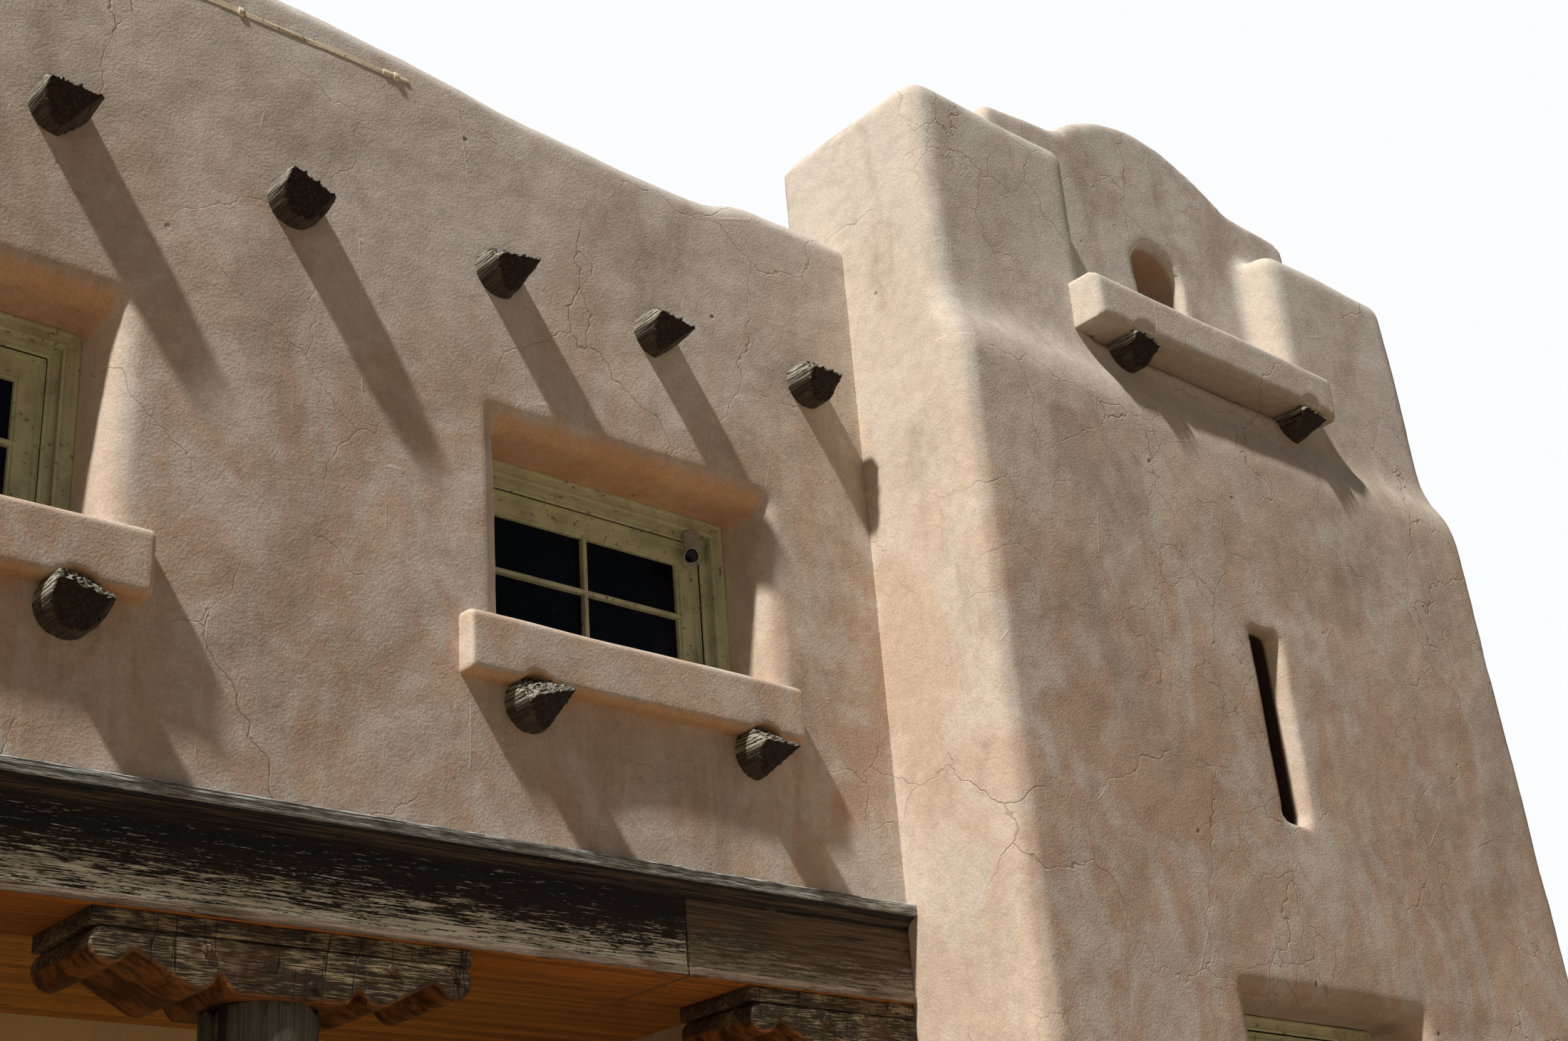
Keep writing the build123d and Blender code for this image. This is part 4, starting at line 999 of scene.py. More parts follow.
class ADOBE_OT_finishes(HouseOperator, bpy.types.Operator):
    """Makes the materials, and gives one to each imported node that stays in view"""

    bl_idname = "adobe.finishes"
    bl_label = "Finishes"

    def execute(self, context):
        clouds("swell", 0.75, 1)
        clouds("ripple", 0.16, 2)
        clouds("fibre", 0.012, 1)
        clouds("hack", 0.06, 1)
        clouds("wear", 0.11, 2)
        SILLS.extend(solid_boxes("front_sills") + solid_boxes("tower_ledge"))
        make_groups()
        make_materials()
        for part in frame["record"]["subparts"]:
            mesh = frame["nodes"][part["node"]].data
            mesh.materials.clear()
            mesh.materials.append(MATERIALS[SLOT_FINISHES[part["material_slot"]]])
        return {"FINISHED"}


class ADOBE_OT_main_wall(HouseOperator, bpy.types.Operator):
    """Skins the upper front wall with soft plaster"""

    bl_idname = "adobe.main_wall"
    bl_label = "Main wall"

    def execute(self, context):
        wall = node_copy("main_wall_plaster", "front_wall")
        run_on(wall, 0, 1, TOWER_X)
        run_on(wall, 2, -1, BEAM_TOP, HIDDEN_LAP / 2)
        wall = join("main_wall_plaster", [wall, *viga_plugs(FACE_Y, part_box("front_wall")[1].y)])
        plaster_skin(wall, context.scene.adobe_plaster.front_mesh, 1.0, 1, 0.5)
        seat_casings(wall, "front_window_frames", -1)
        finish(wall, "earth_plaster", ["front_wall"])
        return {"FINISHED"}


class ADOBE_OT_tower(HouseOperator, bpy.types.Operator):
    """Skins the tower with its piers and gable as one mass of plaster"""

    bl_idname = "adobe.tower"
    bl_label = "Tower"

    # How far behind the main wall's face the side stops being part of the front skin
    SPLIT_DEPTH = 0.10

    # How the hand-cut arch departs from the plain one: wider, lower and further right, within its reach
    ARCH_WIDER, ARCH_LOWER, ARCH_RIGHT, ARCH_REACH = 1.10, 0.93, 0.030, 0.30

    def execute(self, context):
        settings = context.scene.adobe_plaster
        split_y = FACE_Y + self.SPLIT_DEPTH
        parts = [node_copy("tower_plaster", "tower_front_wall")]
        for node in ("tower_left_pier", "tower_right_pier"):
            pier = node_copy(node, node)
            run_on(pier, 2, -1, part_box("tower_front_wall")[1].z)
            parts.append(pier)
        parts.append(self.gable())
        side = node_copy("tower_side", "tower_left_wall")
        inner_side = node_copy("tower_inner_side", "tower_left_wall")
        cut(side, (0, split_y + HIDDEN_LAP, 0), (0, 1, 0), clear_outer=True)
        run_on(side, 1, -1, FACE_Y - 0.1)
        tower = join("tower_plaster", [*parts, side])
        plaster_skin(tower, settings.front_mesh * 1.1, 1.0, 1, 0.6)
        seat_casings(tower, "tower_window_frame", -1)
        finish(tower, "earth_plaster",
               ["tower_front_wall", "tower_left_pier", "tower_right_pier", "gable_wall"])
        cut(inner_side, (0, split_y, 0), (0, 1, 0), clear_inner=True)
        plaster_skin(inner_side, settings.rear_mesh, 0.5, keep=REAR_KEEP)
        finish(inner_side, "earth_plaster", ["tower_left_wall"])
        return {"FINISHED"}

    def gable(self):
        """The gable, run on a little into both piers."""
        gable = node_copy("gable", "gable_wall")
        left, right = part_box("tower_left_pier")[1].x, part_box("tower_right_pier")[0].x
        run_on(gable, 0, -1, left, depth=TOUCH)
        run_on(gable, 0, 1, right, depth=TOUCH)
        self.ease_arch(gable, (left + right) / 2)
        return gable

    def ease_arch(self, gable, middle):
        """Draws the arched opening to its hand-cut shape, from the ledge up."""
        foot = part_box("tower_ledge")[1].z
        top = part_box("tower_left_pier")[1].z

        def in_arch(vert, lowest):
            return abs(vert.co.x - middle) < self.ARCH_REACH and lowest < vert.co.z < top

        with Editing(gable):
            choose(gable, lambda vert: in_arch(vert, foot), "verts")
            bpy.ops.transform.resize(value=(self.ARCH_WIDER, 1, self.ARCH_LOWER),
                                     center_override=(middle, 0, foot))
            choose(gable, lambda vert: in_arch(vert, foot - 0.01), "verts")
            bpy.ops.transform.translate(value=(self.ARCH_RIGHT, 0, 0))


class ADOBE_OT_rear_walls(HouseOperator, bpy.types.Operator):
    """Skins the back, the sides and the end pier with plaster"""

    bl_idname = "adobe.rear_walls"
    bl_label = "Rear walls"

    def execute(self, context):
        size = context.scene.adobe_plaster.rear_mesh
        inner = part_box("back_wall")[0].y
        back = join("back_plaster", [node_copy("back_plaster", "back_wall"), *viga_plugs(inner, BACK_Y)])
        plaster_skin(back, size * 0.9, keep=REAR_KEEP)
        seat_casings(back, "back_window_frames", 1)
        finish(back, "earth_plaster", ["back_wall"])
        left = self.side_wall("left_plaster", "left_wall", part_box("front_wall")[1].y, inner)
        pier = node_copy("end_pier", "end_pier")
        run_on(pier, 2, 1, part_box("end_pier")[1].z, HIDDEN_LAP / 2)
        left = join("left_plaster", [left, pier])
        plaster_skin(left, size * 0.8, keep=REAR_KEEP)
        finish(left, "earth_plaster", ["left_wall", "end_pier"])
        right = self.side_wall("right_plaster", "right_wall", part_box("right_wall")[0].y, inner)
        plaster_skin(right, size * 0.8, keep=REAR_KEEP)
        finish(right, "earth_plaster", ["right_wall"])
        return {"FINISHED"}

    def side_wall(self, name, node, front, back):
        """A side wall, run on a little into the walls at both its ends."""
        wall = node_copy(name, node)
        run_on(wall, 1, 1, back)
        run_on(wall, 1, -1, front)
        return wall


class ADOBE_OT_ledges(HouseOperator, bpy.types.Operator):
    """Skins the window ledges and the tower's ledge with plaster"""

    bl_idname = "adobe.ledges"
    bl_label = "Ledges"

    # How much further right the tower's ledge runs than its node
    LEDGE_RIGHT = 0.05

    def execute(self, context):
        settings = context.scene.adobe_plaster
        front_mesh, rear_mesh = settings.ledge_mesh, settings.rear_mesh / 2
        for node, size, out in (("front_sills", front_mesh, -1), ("tower_sill", front_mesh, -1),
                                ("tower_ledge", front_mesh, -1), ("back_sills", rear_mesh, 1)):
            ledge = node_copy(node + "_plaster", node)
            low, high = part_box(node)
            run_on(ledge, 1, -out, high.y if out < 0 else low.y)
            if node == "tower_ledge":
                with Editing(ledge):
                    choose(ledge, lambda face: face.calc_center_median().x > high.x - 0.03)
                    bpy.ops.transform.translate(value=(self.LEDGE_RIGHT, 0, 0))
                ledge = join(ledge.name, [ledge, *self.pocket_fills(low)])
            plaster_skin(ledge, size, 0.45, 1, 0.4)
            finish(ledge, "earth_plaster", [node])
        return {"FINISHED"}

    def pocket_fills(self, ledge_low):
        """Plaster packed round the stub logs where they are let into the tower's ledge."""
        fills = []
        for low, high in solid_boxes("ledge_vigas"):
            fills.append(cube((low.x - 0.02, ledge_low.y + 0.012, ledge_low.z + 0.004),
                              (high.x + 0.02, high.y, high.z + 0.016)))
        return fills


# Chops of each kind of log end: where round the end each faces, how squarely it faces out, both in degrees,
# and where it crosses the middle. The first is the long cut that looks down, the second looks up, and the
# third trims the right side.
CHOPS = (
    ((278, 39, 0.002), (86, 34, 0.014), (313, 7, -0.500)),
    ((272, 47, 0.014), (80, 38, 0.012), (325, 20, -0.165)),
    ((284, 43, 0.008), (94, 33, 0.016), (318, 12, -0.290)),
)
CHECK_STEP = 2.399  # turn from one drying check to the next, which spreads them unevenly


class ADOBE_OT_logs(HouseOperator, bpy.types.Operator):
    """Makes hewn, checked logs in place of the plain roof logs and stub logs"""

    bl_idname = "adobe.logs"
    bl_label = "Logs"

    def execute(self, context):
        timber = context.scene.adobe_timber
        roof_logs = solid_boxes("roof_vigas")
        radius = (roof_logs[0][1].z - roof_logs[0][0].z) / 2
        front = [self.log_end(kind, radius, timber, timber.log_mesh) for kind in range(len(CHOPS))]
        rear = [self.log_end(kind, radius, timber, timber.rear_log_mesh) for kind in range(len(CHOPS))]
        inset = timber.end_length * 0.85
        logs = []
        for turn, (low, high) in enumerate(roof_logs):
            middle = (low + high) / 2
            logs.append(self.place(front, turn, (middle.x, low.y, middle.z), False))
            logs.append(self.place(rear, turn, (middle.x, high.y, middle.z), True))
            logs.append(self.hidden_length(middle, low.y + inset, high.y - inset, radius * 0.92))
        finish(join("roof_logs", logs), "hewn_log", ["roof_vigas"])
        for node, kinds, back in (("front_sill_vigas", front, False), ("ledge_vigas", front, False),
                                  ("back_sill_vigas", rear, True)):
            stubs = []
            for turn, (low, high) in enumerate(solid_boxes(node), 1):
                middle = (low + high) / 2
                stubs.append(self.place(kinds, turn, (middle.x, high.y if back else low.y, middle.z), back))
            finish(join(node + "_hewn", stubs), "hewn_log", [node])
        remove(*front, *rear)
        return {"FINISHED"}

    def log_end(self, kind, radius, timber, size):
        """One kind of log end, lying along y, with its chopped face at y = 0."""
        length = timber.end_length
        piece = cylinder(radius, length, (0, length / 2, 0), 18)
        for angle, square, back in CHOPS[kind]:
            a, s = math.radians(angle), math.radians(square)
            out = Vector((math.cos(a) * math.cos(s), -math.sin(s), math.sin(a) * math.cos(s)))
            cut(piece, (0, back, 0), out, clear_outer=True)
        modify(piece, "REMESH", mode="VOXEL", voxel_size=size)
        normals = per_vertex(piece, "normal", 3)
        faces_out = np.clip((-normals[:, 1] - 0.40) / 0.12, 0, 1)
        cut_end = faces_out * np.clip((0.25 - normals[:, 2]) / 0.15, 0, 1)
        store(piece, "cut_end", cut_end)
        displace(piece, "hack", 0.004, 0.8)
        weigh(piece, "sides", 1 - cut_end)
        displace_along(piece, 1, 0.06, "fibre", 0.004, 0.6, vertex_group="sides")
        piece.vertex_groups.clear()
        self.open_checks(piece, kind, radius, timber.checks)
        grain = piece.data.attributes.new("grain", "FLOAT_VECTOR", "POINT")
        grain.data.foreach_set("vector", per_vertex(piece, "co", 3).ravel())
        return piece

    def open_checks(self, piece, kind, radius, count):
        """Pushes narrow radial cracks back into the end face."""
        points = per_vertex(piece, "co", 3)
        around = np.arctan2(points[:, 2], points[:, 0])
        reach = np.hypot(points[:, 0], points[:, 2]) / radius
        weights = np.zeros(len(points))
        for i in range(count):
            angle = (i * CHECK_STEP + kind) % (2 * math.pi) - math.pi
            near = np.abs((around - angle + math.pi) % (2 * math.pi) - math.pi) * reach
            weights = np.maximum(weights, np.clip(1 - near / 0.09, 0, 1) * np.clip(reach * 1.6 - 0.2, 0, 1))
        weights *= np.clip((0.13 - points[:, 1]) / 0.13, 0, 1)
        weigh(piece, "checks", weights)
        modify(piece, "DISPLACE", strength=0.010, mid_level=0.0, direction="Y", vertex_group="checks")
        piece.vertex_groups.clear()

    def place(self, kinds, turn, spot, back):
        """A copy of one kind of end, turned a little so that no two neighbours look alike."""
        about = Matrix.Rotation((turn * 7 % 5 - 2) * 0.09, 4, "Y")
        facing_back = Matrix.Rotation(math.pi, 4, "Z") if back else Matrix.Identity(4)
        return duplicate(kinds[turn % len(kinds)], Matrix.Translation(spot) @ facing_back @ about)

    def hidden_length(self, middle, y0, y1, radius):
        """The log between its two ends, over the rooms."""
        piece = cylinder(radius, y1 - y0, (middle.x, (y0 + y1) / 2, middle.z), 16)
        with Editing(piece):
            choose(piece, lambda face: abs(face.normal.y) > 0.99)
            bpy.ops.mesh.bevel(offset=0.01, segments=1)
        return piece


class ADOBE_OT_windows(HouseOperator, bpy.types.Operator):
    """Makes moulded casings, jambs and sashes with glazing bars, and a dark pane behind each sash"""

    bl_idname = "adobe.windows"
    bl_label = "Windows"

    # Depths behind the casing's face
    SASH_FRONT, JAMB_BACK, GLASS_FRONT, GLASS_BACK = 0.090, 0.165, 0.122, 0.128

    def execute(self, context):
        settings = context.scene.adobe_window
        models = {}
        for group, frames, sashes, panes in (
                ("front", "front_window_frames", "front_sashes", "front_glass"),
                ("tower", "tower_window_frame", "tower_sash", "tower_glass"),
                ("portal", "portal_window_frames", "portal_sashes", "portal_glass"),
                ("back", "back_window_frames", "back_sashes", "back_glass")):
            wood, glass = [], []
            for low, high in solid_boxes(frames):
                width, height = high.x - low.x, high.z - low.z
                key = (round(width, 3), round(height, 3))
                if key not in models:
                    models[key] = (self.joinery(width, height, settings), self.pane(width, height, settings))
                middle = (low.x + high.x) / 2
                place = Matrix.Translation((middle, low.y, low.z))
                if group == "back":
                    place = Matrix.Translation((middle, high.y, low.z)) @ Matrix.Rotation(math.pi, 4, "Z")
                wood.append(duplicate(models[key][0], place))
                glass.append(duplicate(models[key][1], place))
            finish(join(group + "_windows", wood), "window_paint", [frames, sashes], 35)
            finish(join(group + "_panes", glass), "dusty_glass", [panes], 35)
        for pair in models.values():
            remove(*pair)
        return {"FINISHED"}

    def joinery(self, width, height, settings):
        """One window's wood. Its casing's face is at y = 0, its foot at z = 0 and its middle at x = 0."""
        half, bead, jamb = width / 2, settings.bead, settings.jamb
        depth, sash = settings.casing_depth, self.SASH_FRONT
        low, high = Vector((-half, 0, 0)), Vector((half, 0, height))

        def frame_at(inset, y0, y1, member, bevel):
            """A mitred ring at a distance in from the window's edge."""
            step = Vector((inset, 0, inset))
            return ring(low + step + Vector((0, y0, 0)), high - step + Vector((0, y1, 0)), member, bevel)

        pieces = [
            frame_at(0, -0.008, 0.03, bead * 1.2, 0.003),
            frame_at(0, 0, depth, settings.casing, 0.003),
            frame_at(settings.casing - bead, -0.006, 0.03, bead, 0.004),
            frame_at(0, depth, self.JAMB_BACK, jamb, 0.003),
            frame_at(jamb - bead, depth - 0.006, 0.06, bead, 0.003),
            frame_at(jamb - 0.002, sash - 0.014, sash + 0.01, bead, 0.003),
            frame_at(jamb, sash, sash + 0.04, settings.stile, 0.004),
            frame_at(jamb + settings.stile - 0.003, sash + 0.010, sash + 0.036, bead, 0.005),
        ]
        clear = jamb + settings.stile
        lap, bar = 0.01, settings.bar / 2
        rows = round(height / settings.pane_height)
        across = half - clear + lap
        pieces.append(self.bar((-bar, clear - lap), (bar, height - clear + lap), sash))
        for i in range(1, rows):
            z = clear + (height - 2 * clear) * i / rows
            pieces.append(self.bar((-across, z - bar), (across, z + bar), sash + 0.001))
        return join("window_joinery", pieces)

    def bar(self, low, high, y):
        """A glazing bar with rounded edges, between two corners in x and z."""
        return cube((low[0], y + 0.003, low[1]), (high[0], y + 0.037, high[1]), 0.006)

    def pane(self, width, height, settings):
        edge = settings.jamb + settings.stile - 0.008
        return cube((-width / 2 + edge, self.GLASS_FRONT, edge),
                    (width / 2 - edge, self.GLASS_BACK, height - edge), 0.0015, 1)


class ADOBE_OT_portal_timber(HouseOperator, bpy.types.Operator):
    """Makes the beam, its cap, the carved brackets, the posts and the ceiling boards"""

    bl_idname = "adobe.portal_timber"
    bl_label = "Portal timber"

    # Bolts and pegs on a bracket's face: from its middle, below the beam, and radius
    PEGS = (
        (-0.30, 0.100, 0.017), (0.05, 0.022, 0.013), (0.37, 0.098, 0.017), (0.07, 0.176, 0.012),
        (0.603, 0.078, 0.012),
    )

    def execute(self, context):
        self.beam()
        cap = node_copy("worn_cap", "beam_cap")
        ease(cap, 0.006)
        run_cuts(cap, 0, 60)
        displace(cap, "wear", 0.010, 0.55)
        finish(cap, "cap_wood", ["beam_cap"], 40)
        self.brackets()
        self.posts()
        self.ceiling(context.scene.adobe_timber.board)
        return {"FINISHED"}

    def beam(self):
        """Two timbers end to end, with a thin worn lip along the bottom of each."""
        low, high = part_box("portal_beam")
        half_gap = 0.0015
        pieces = []
        for x0, x1 in ((low.x, BEAM_JOINT_X - half_gap), (BEAM_JOINT_X + half_gap, high.x)):
            pieces.append(cube((x0, low.y, low.z), (x1, high.y, high.z), 0.010))
            pieces.append(cube((x0 + 0.002, low.y - 0.005, low.z + 0.002),
                               (x1 - 0.002, low.y + 0.03, low.z + LIP_HEIGHT), 0.006))
        for piece in pieces:
            run_cuts(piece, 0, 80)
            displace(piece, "wear", 0.010, 0.6)
        finish(join("worn_beam", pieces), "peeled_wood", ["portal_beam"], 40)

    def brackets(self):
        """Each bracket as a plank and a carved part with a thin gap between them, and its pegs."""
        low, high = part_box("zapatas")
        plank = node_copy("bracket_planks", "zapatas")
        carved = node_copy("carved_brackets", "zapatas")
        for piece, side in ((plank, 1), (carved, -1)):
            cut(piece, (0, 0, SOFFIT - BRACKET_PLANK + side * 0.001), (0, 0, side), clear_inner=True)
        ease(plank, 0.005)
        run_cuts(plank, 0, 30)
        modify(carved, "REMESH", mode="VOXEL", voxel_size=0.0105)
        modify(carved, "SMOOTH", factor=0.35, iterations=1)
        for piece in (plank, carved):
            displace(piece, "wear", 0.007, 0.55)
        modify(carved, "DECIMATE", ratio=0.5)
        pieces = [plank, carved]
        for x in post_middles():
            for across, down, radius in self.PEGS:
                if low.x + radius < x + across < high.x - radius:
                    pieces.append(self.peg(Vector((x + across, low.y, SOFFIT - down)), radius))
        finish(join("carved_brackets", pieces), "carved_wood", ["zapatas"], 50)

    def peg(self, spot, radius):
        """A low domed peg head on the bracket's face."""
        piece = cylinder(radius, 0.02, spot + Vector((0, 0.004, 0)), 20)
        with Editing(piece):
            choose(piece, lambda face: face.normal.y < -0.9)
            bpy.ops.mesh.inset(thickness=radius * 0.25, depth=0.002)
            bpy.ops.mesh.inset(thickness=radius * 0.35, depth=0.001)
        return piece

    def posts(self):
        """One hewn post with long hollows between its fibres, and copies of it turned about."""
        boxes = solid_boxes("portal_posts")
        low, high = boxes[0]
        height = high.z - low.z
        model = cylinder((high.x - low.x) / 2, height, (0, 0, height / 2), 72, (0, 0, 0))
        with Editing(model):
            choose(model, lambda face: abs(face.normal.z) > 0.9)
            bpy.ops.mesh.bevel(offset=0.014, segments=2)
        run_cuts(model, 2, 50)
        displace(model, "swell", 0.022, 0.62)
        displace_along(model, 2, 0.03, "hack", 0.003, 0.5)
        posts = []
        for turn, (low, high) in enumerate(boxes):
            middle = (low + high) / 2
            place = Matrix.Translation((middle.x, middle.y, low.z)) @ Matrix.Rotation(turn * 1.7, 4, "Z")
            posts.append(duplicate(model, place))
        remove(model)
        finish(join("hewn_posts", posts), "post_wood", ["portal_posts"])

    def ceiling(self, board):
        """Boards that run along the portal, with a groove at each joint."""
        low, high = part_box("portal_ceiling")
        count = round((high.y - low.y) / board)
        width = (high.y - low.y) / count
        half_gap = 0.0005
        boards = []
        for i in range(count):
            y = low.y + width * i
            boards.append(cube((low.x, y + half_gap, low.z),
                               (high.x, y + width - half_gap, high.z), 0.005, 1))
        finish(join("ceiling_boards", boards), "board_wood", ["portal_ceiling"], 30)


class ADOBE_OT_fittings(HouseOperator, bpy.types.Operator):
    """Makes the hooded housing in the window, the rod below the parapet and the front door"""

    bl_idname = "adobe.fittings"
    bl_label = "Fittings"

    # The door's iron: how far the straps are from its ends, their length and half height, and how high the
    # ring is
    STRAP_INSET, STRAP_LENGTH, STRAP_HALF, RING_Z = 0.35, 0.62, 0.022, 1.16

    def execute(self, context):
        self.housing()
        self.rod()
        self.door()
        return {"FINISHED"}

    def housing(self):
        """A tube whose lower end is cut aslant, with a dark lens set back in it, which also serves as
        painted shade in the bore.
        """
        low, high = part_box("window_housing")
        radius = (high.y - low.y) / 2
        x, y = low.x + radius, (low.y + high.y) / 2
        mouth = Vector((x, y, low.z + radius * 1.1))
        slant = Vector((-0.42, -0.56, -0.71))
        tube = self.round_bar(radius, (x, y, low.z), (x, y, high.z))
        cut(tube, mouth, slant, clear_outer=True)
        with Editing(tube):
            choose(tube, lambda face: face.normal.z < -0.5)
            bpy.ops.mesh.inset(thickness=radius * 0.13, depth=0)
            bpy.ops.mesh.inset(thickness=0.0005, depth=-radius)
            choose(tube, lambda face: face.normal.z > 0.9)
            bpy.ops.mesh.bevel(offset=0.004, segments=3)
        collar = self.round_bar(radius + 0.002, (x, y, high.z - 0.032), (x, y, high.z - 0.024), 0.0015)
        housing = join("hooded_housing", [tube, collar])
        finish(housing, "housing_paint", ["window_housing"], 35)
        # Painted shade: a dark glass disc set back in the bore makes it read as dark
        middle = mouth - slant * radius * 0.45
        lens = self.round_bar(radius * 0.84, middle, middle - slant * 0.012, 0.002)
        finish(join("housing_lens", [lens]), "dusty_glass", (), 35)

    def round_bar(self, radius, start, end, bevel=0.0, sides=40):
        """A round bar from one point to another."""
        start, end = Vector(start), Vector(end)
        run = end - start
        turn = run.to_track_quat("Z", "Y").to_euler()
        piece = cylinder(radius, run.length, (start + end) / 2, sides, turn)
        if bevel:
            ease(piece, bevel)
        return piece

    def rod(self):
        """A thin rod with two couplings and three clips, pressed flat against the plaster."""
        low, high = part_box("parapet_rod")
        radius, z = (high.z - low.z) * 0.62, (low.z + high.z) / 2
        spans = [(low.x, high.x, 1), (low.x + 0.42, low.x + 0.50, 1.35),
                 (high.x - 0.12, high.x - 0.05, 1.35)]
        for x in (low.x + 0.06, (low.x + high.x) / 2, high.x - 0.06):
            spans.append((x - 0.010, x + 0.010, 1.7))
        bars = []
        for x0, x1, wider in spans:
            bars.append(self.round_bar(radius * wider, (x0, FACE_Y, z), (x1, FACE_Y, z), 0.001, 16))
        rod = join("thin_rod", bars)
        run_cuts(rod, 0, 60)
        with Editing(rod):
            bpy.ops.mesh.select_all(action="SELECT")
            bpy.ops.transform.resize(value=(1, 0.8, 1), center_override=(0, FACE_Y, 0))
        modify(rod, "SHRINKWRAP", target=bpy.data.objects["main_wall_plaster"],
               wrap_mode="OUTSIDE", offset=0.003)
        finish(rod, "fitting_paint", ["parapet_rod"], 40)

    def door(self):
        """A leaf with eased edges in its casing, two strap hinges and a ring pull."""
        leaf = node_copy("plank_door", "front_door")
        ease(leaf, 0.003)
        finish(leaf, "door_wood", ["front_door"], 30)
        casing = node_copy("door_casing", "door_frame")
        ease(casing, 0.006)
        finish(casing, "window_paint", ["door_frame"], 30)
        low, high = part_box("front_door")
        iron = []
        for z in (low.z + self.STRAP_INSET, high.z - self.STRAP_INSET):
            iron.append(cube((low.x + 0.01, low.y - 0.006, z - self.STRAP_HALF),
                             (low.x + self.STRAP_LENGTH, low.y + 0.002, z + self.STRAP_HALF), 0.002))
            for step in range(4):
                iron.append(self.nail((low.x + 0.06 + 0.16 * step, low.y - 0.007, z)))
        bpy.ops.mesh.primitive_torus_add(
            major_radius=0.05, minor_radius=0.007, major_segments=32, minor_segments=10,
            rotation=LYING, location=(high.x - 0.09, low.y - 0.014, self.RING_Z))
        apply_place(bpy.context.object)
        iron.append(bpy.context.object)
        iron.append(cube((high.x - 0.115, low.y - 0.008, self.RING_Z),
                         (high.x - 0.065, low.y + 0.002, self.RING_Z + 0.09), 0.003))
        finish(join("door_iron", iron), "iron", (), 35)

    def nail(self, spot):
        bpy.ops.mesh.primitive_uv_sphere_add(segments=12, ring_count=8, radius=0.009, location=spot)
        piece = bpy.context.object
        piece.scale = (1, 0.6, 1)
        apply_place(piece)
        return piece


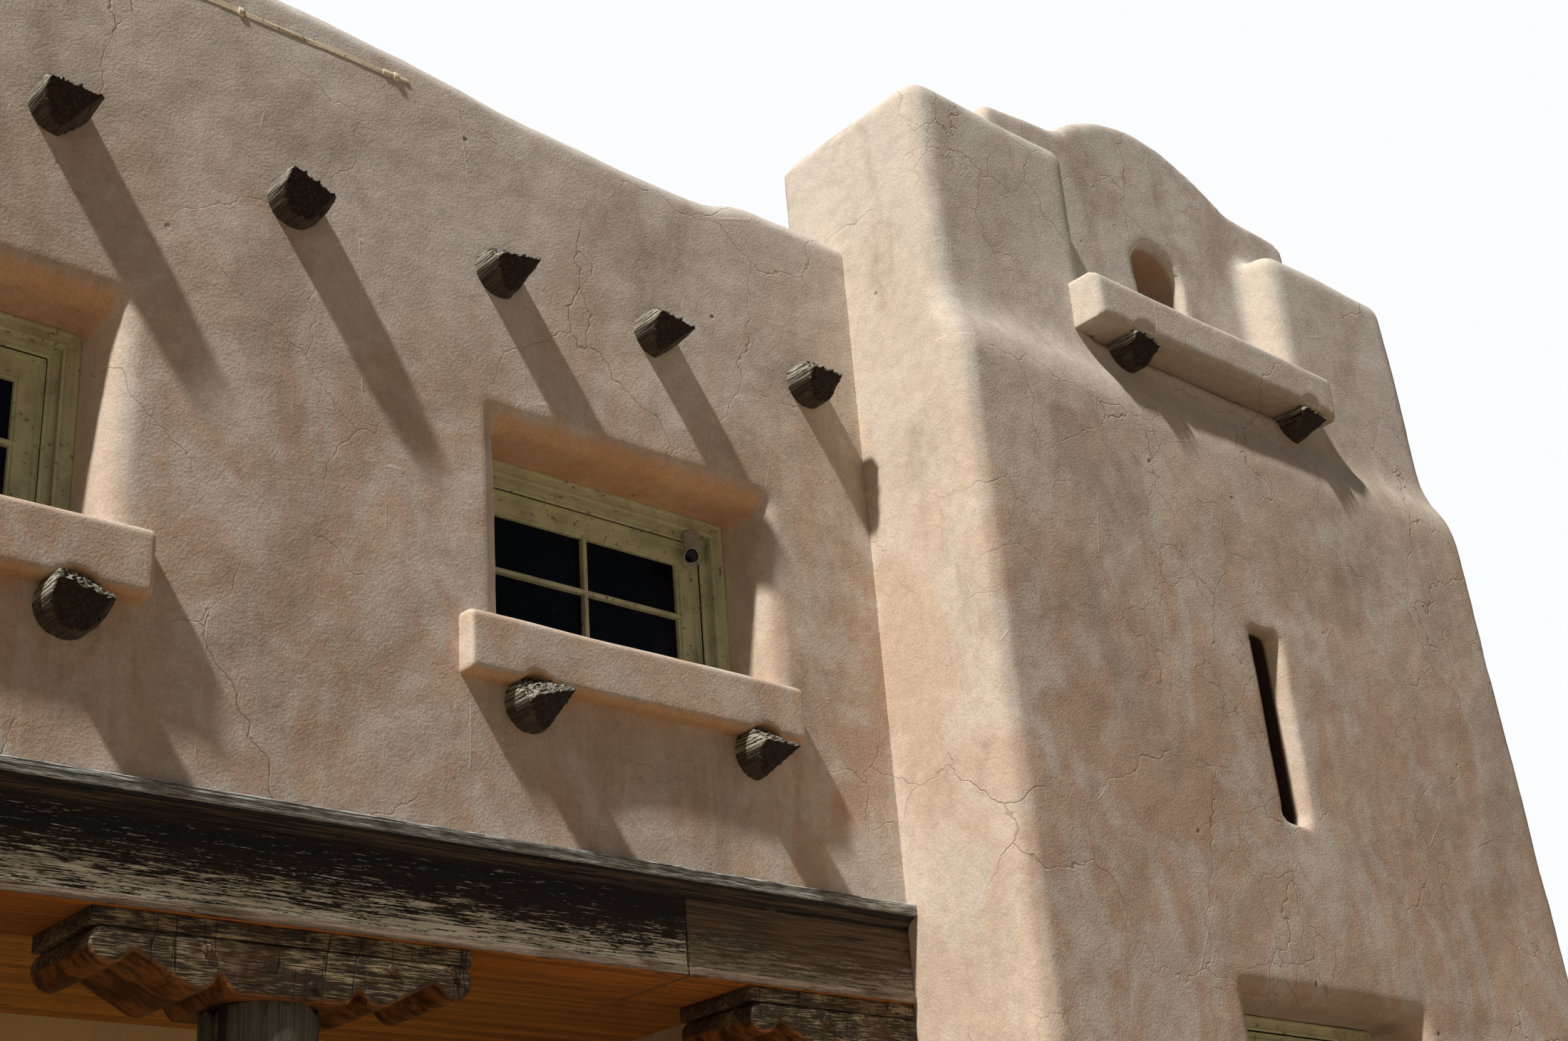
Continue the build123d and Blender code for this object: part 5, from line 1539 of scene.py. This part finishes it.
class ADOBE_OT_stage(HouseOperator, bpy.types.Operator):
    """Sets the camera at the photograph's angle, the lights and the pale floor"""

    bl_idname = "adobe.stage"
    bl_label = "Stage"

    def execute(self, context):
        settings = context.scene.adobe_stage
        self.camera(context, settings)
        self.sun(context, settings)
        self.world(context, settings)
        self.floor(settings)
        context.scene.view_settings.view_transform = "Standard"
        return {"FINISHED"}

    def camera(self, context, settings):
        yaw, pitch, roll = settings.yaw, settings.pitch, settings.roll
        ahead = Vector((math.sin(yaw) * math.cos(pitch), math.cos(yaw) * math.cos(pitch), math.sin(pitch)))
        right = ahead.cross(Vector((0, 0, 1))).normalized()
        down = ahead.cross(right)
        c, s = math.cos(roll), math.sin(roll)
        right, down = c * right + s * down, c * down - s * right
        data = bpy.data.cameras.new("photo_angle")
        data.lens = settings.lens
        data.sensor_width = 36
        data.sensor_fit = "HORIZONTAL"
        data.clip_end = 200
        camera = bpy.data.objects.new("photo_angle", data)
        context.scene.collection.objects.link(camera)
        turn = Matrix((right, -down, -ahead)).transposed().to_4x4()
        camera.matrix_world = Matrix.Translation(settings.eye) @ turn
        context.scene.camera = camera

    def sun(self, context, settings):
        data = bpy.data.lights.new("key", "SUN")
        data.energy = settings.key
        data.angle = math.radians(2.6)
        data.color = (1.0, 0.96, 0.90)
        key = bpy.data.objects.new("key", data)
        context.scene.collection.objects.link(key)
        key.rotation_euler = Vector((0.55, 0.155, -0.82)).to_track_quat("-Z", "Y").to_euler()

    def world(self, context, settings):
        """A white background that gives only an even, slightly blue fill to the house."""
        world = bpy.data.worlds.new("studio")
        context.scene.world = world
        world.use_nodes = True
        world.node_tree.nodes.clear()
        graph = Graph(world.node_tree)
        path = graph.add("LightPath").outputs
        shown = graph.larger(path["Is Camera Ray"], path["Is Transmission Ray"])
        strength = graph.plus(graph.times(shown, 1.0 - settings.fill), settings.fill)
        tint = graph.mix(shown, (0.80, 0.89, 1.0), (0.97, 0.98, 1.0))
        background = graph.add("Background", {"Color": tint, "Strength": strength})
        graph.add("OutputWorld", {"Surface": background.outputs[0]})

    def floor(self, settings):
        bpy.ops.mesh.primitive_plane_add(size=120, location=(0, 3, 0))
        floor = bpy.context.object
        floor.name = "pale_floor"
        apply_place(floor)
        graph, shader, vector = new_material("pale_floor", 0.8)
        path = graph.add("LightPath").outputs
        direct = graph.larger(path["Is Camera Ray"], path["Is Glossy Ray"])
        shown = graph.larger(direct, path["Is Transmission Ray"])
        patch = graph.span(graph.noise(vector, 0.4, 3), 0.3, 0.7)
        pale = graph.mix(patch, settings.floor, darker(settings.floor, 0.96))
        graph.feed(shader.inputs["Base Color"], graph.mix(shown, settings.bounce, pale))
        floor.data.materials.append(MATERIALS["pale_floor"])


OPERATORS = (
    ADOBE_OT_finishes, ADOBE_OT_main_wall, ADOBE_OT_tower, ADOBE_OT_rear_walls, ADOBE_OT_ledges,
    ADOBE_OT_logs, ADOBE_OT_windows, ADOBE_OT_portal_timber, ADOBE_OT_fittings, ADOBE_OT_stage,
)


class ADOBE_PT_house(bpy.types.Panel):
    """Lists the house's pieces in the sidebar"""

    bl_idname = "ADOBE_PT_house"
    bl_label = "Adobe House"
    bl_space_type = "VIEW_3D"
    bl_region_type = "UI"
    bl_category = "Adobe House"

    def draw(self, context):
        for operator in OPERATORS:
            self.layout.operator(operator.bl_idname)


SETTINGS = {
    "adobe_plaster": PlasterSettings, "adobe_timber": TimberSettings, "adobe_window": WindowSettings,
    "adobe_stage": StageSettings,
}


def register():
    for kind in (*SETTINGS.values(), *OPERATORS, ADOBE_PT_house):
        bpy.utils.register_class(kind)
    for name, kind in SETTINGS.items():
        setattr(bpy.types.Scene, name, PointerProperty(type=kind))


def unregister():
    for name in SETTINGS:
        delattr(bpy.types.Scene, name)
    for kind in (ADOBE_PT_house, *reversed(OPERATORS), *SETTINGS.values()):
        bpy.utils.unregister_class(kind)


def main():
    register()
    for operator in OPERATORS:
        family, name = operator.bl_idname.split(".")
        getattr(getattr(bpy.ops, family), name)()


if __name__ == "__main__":
    main()
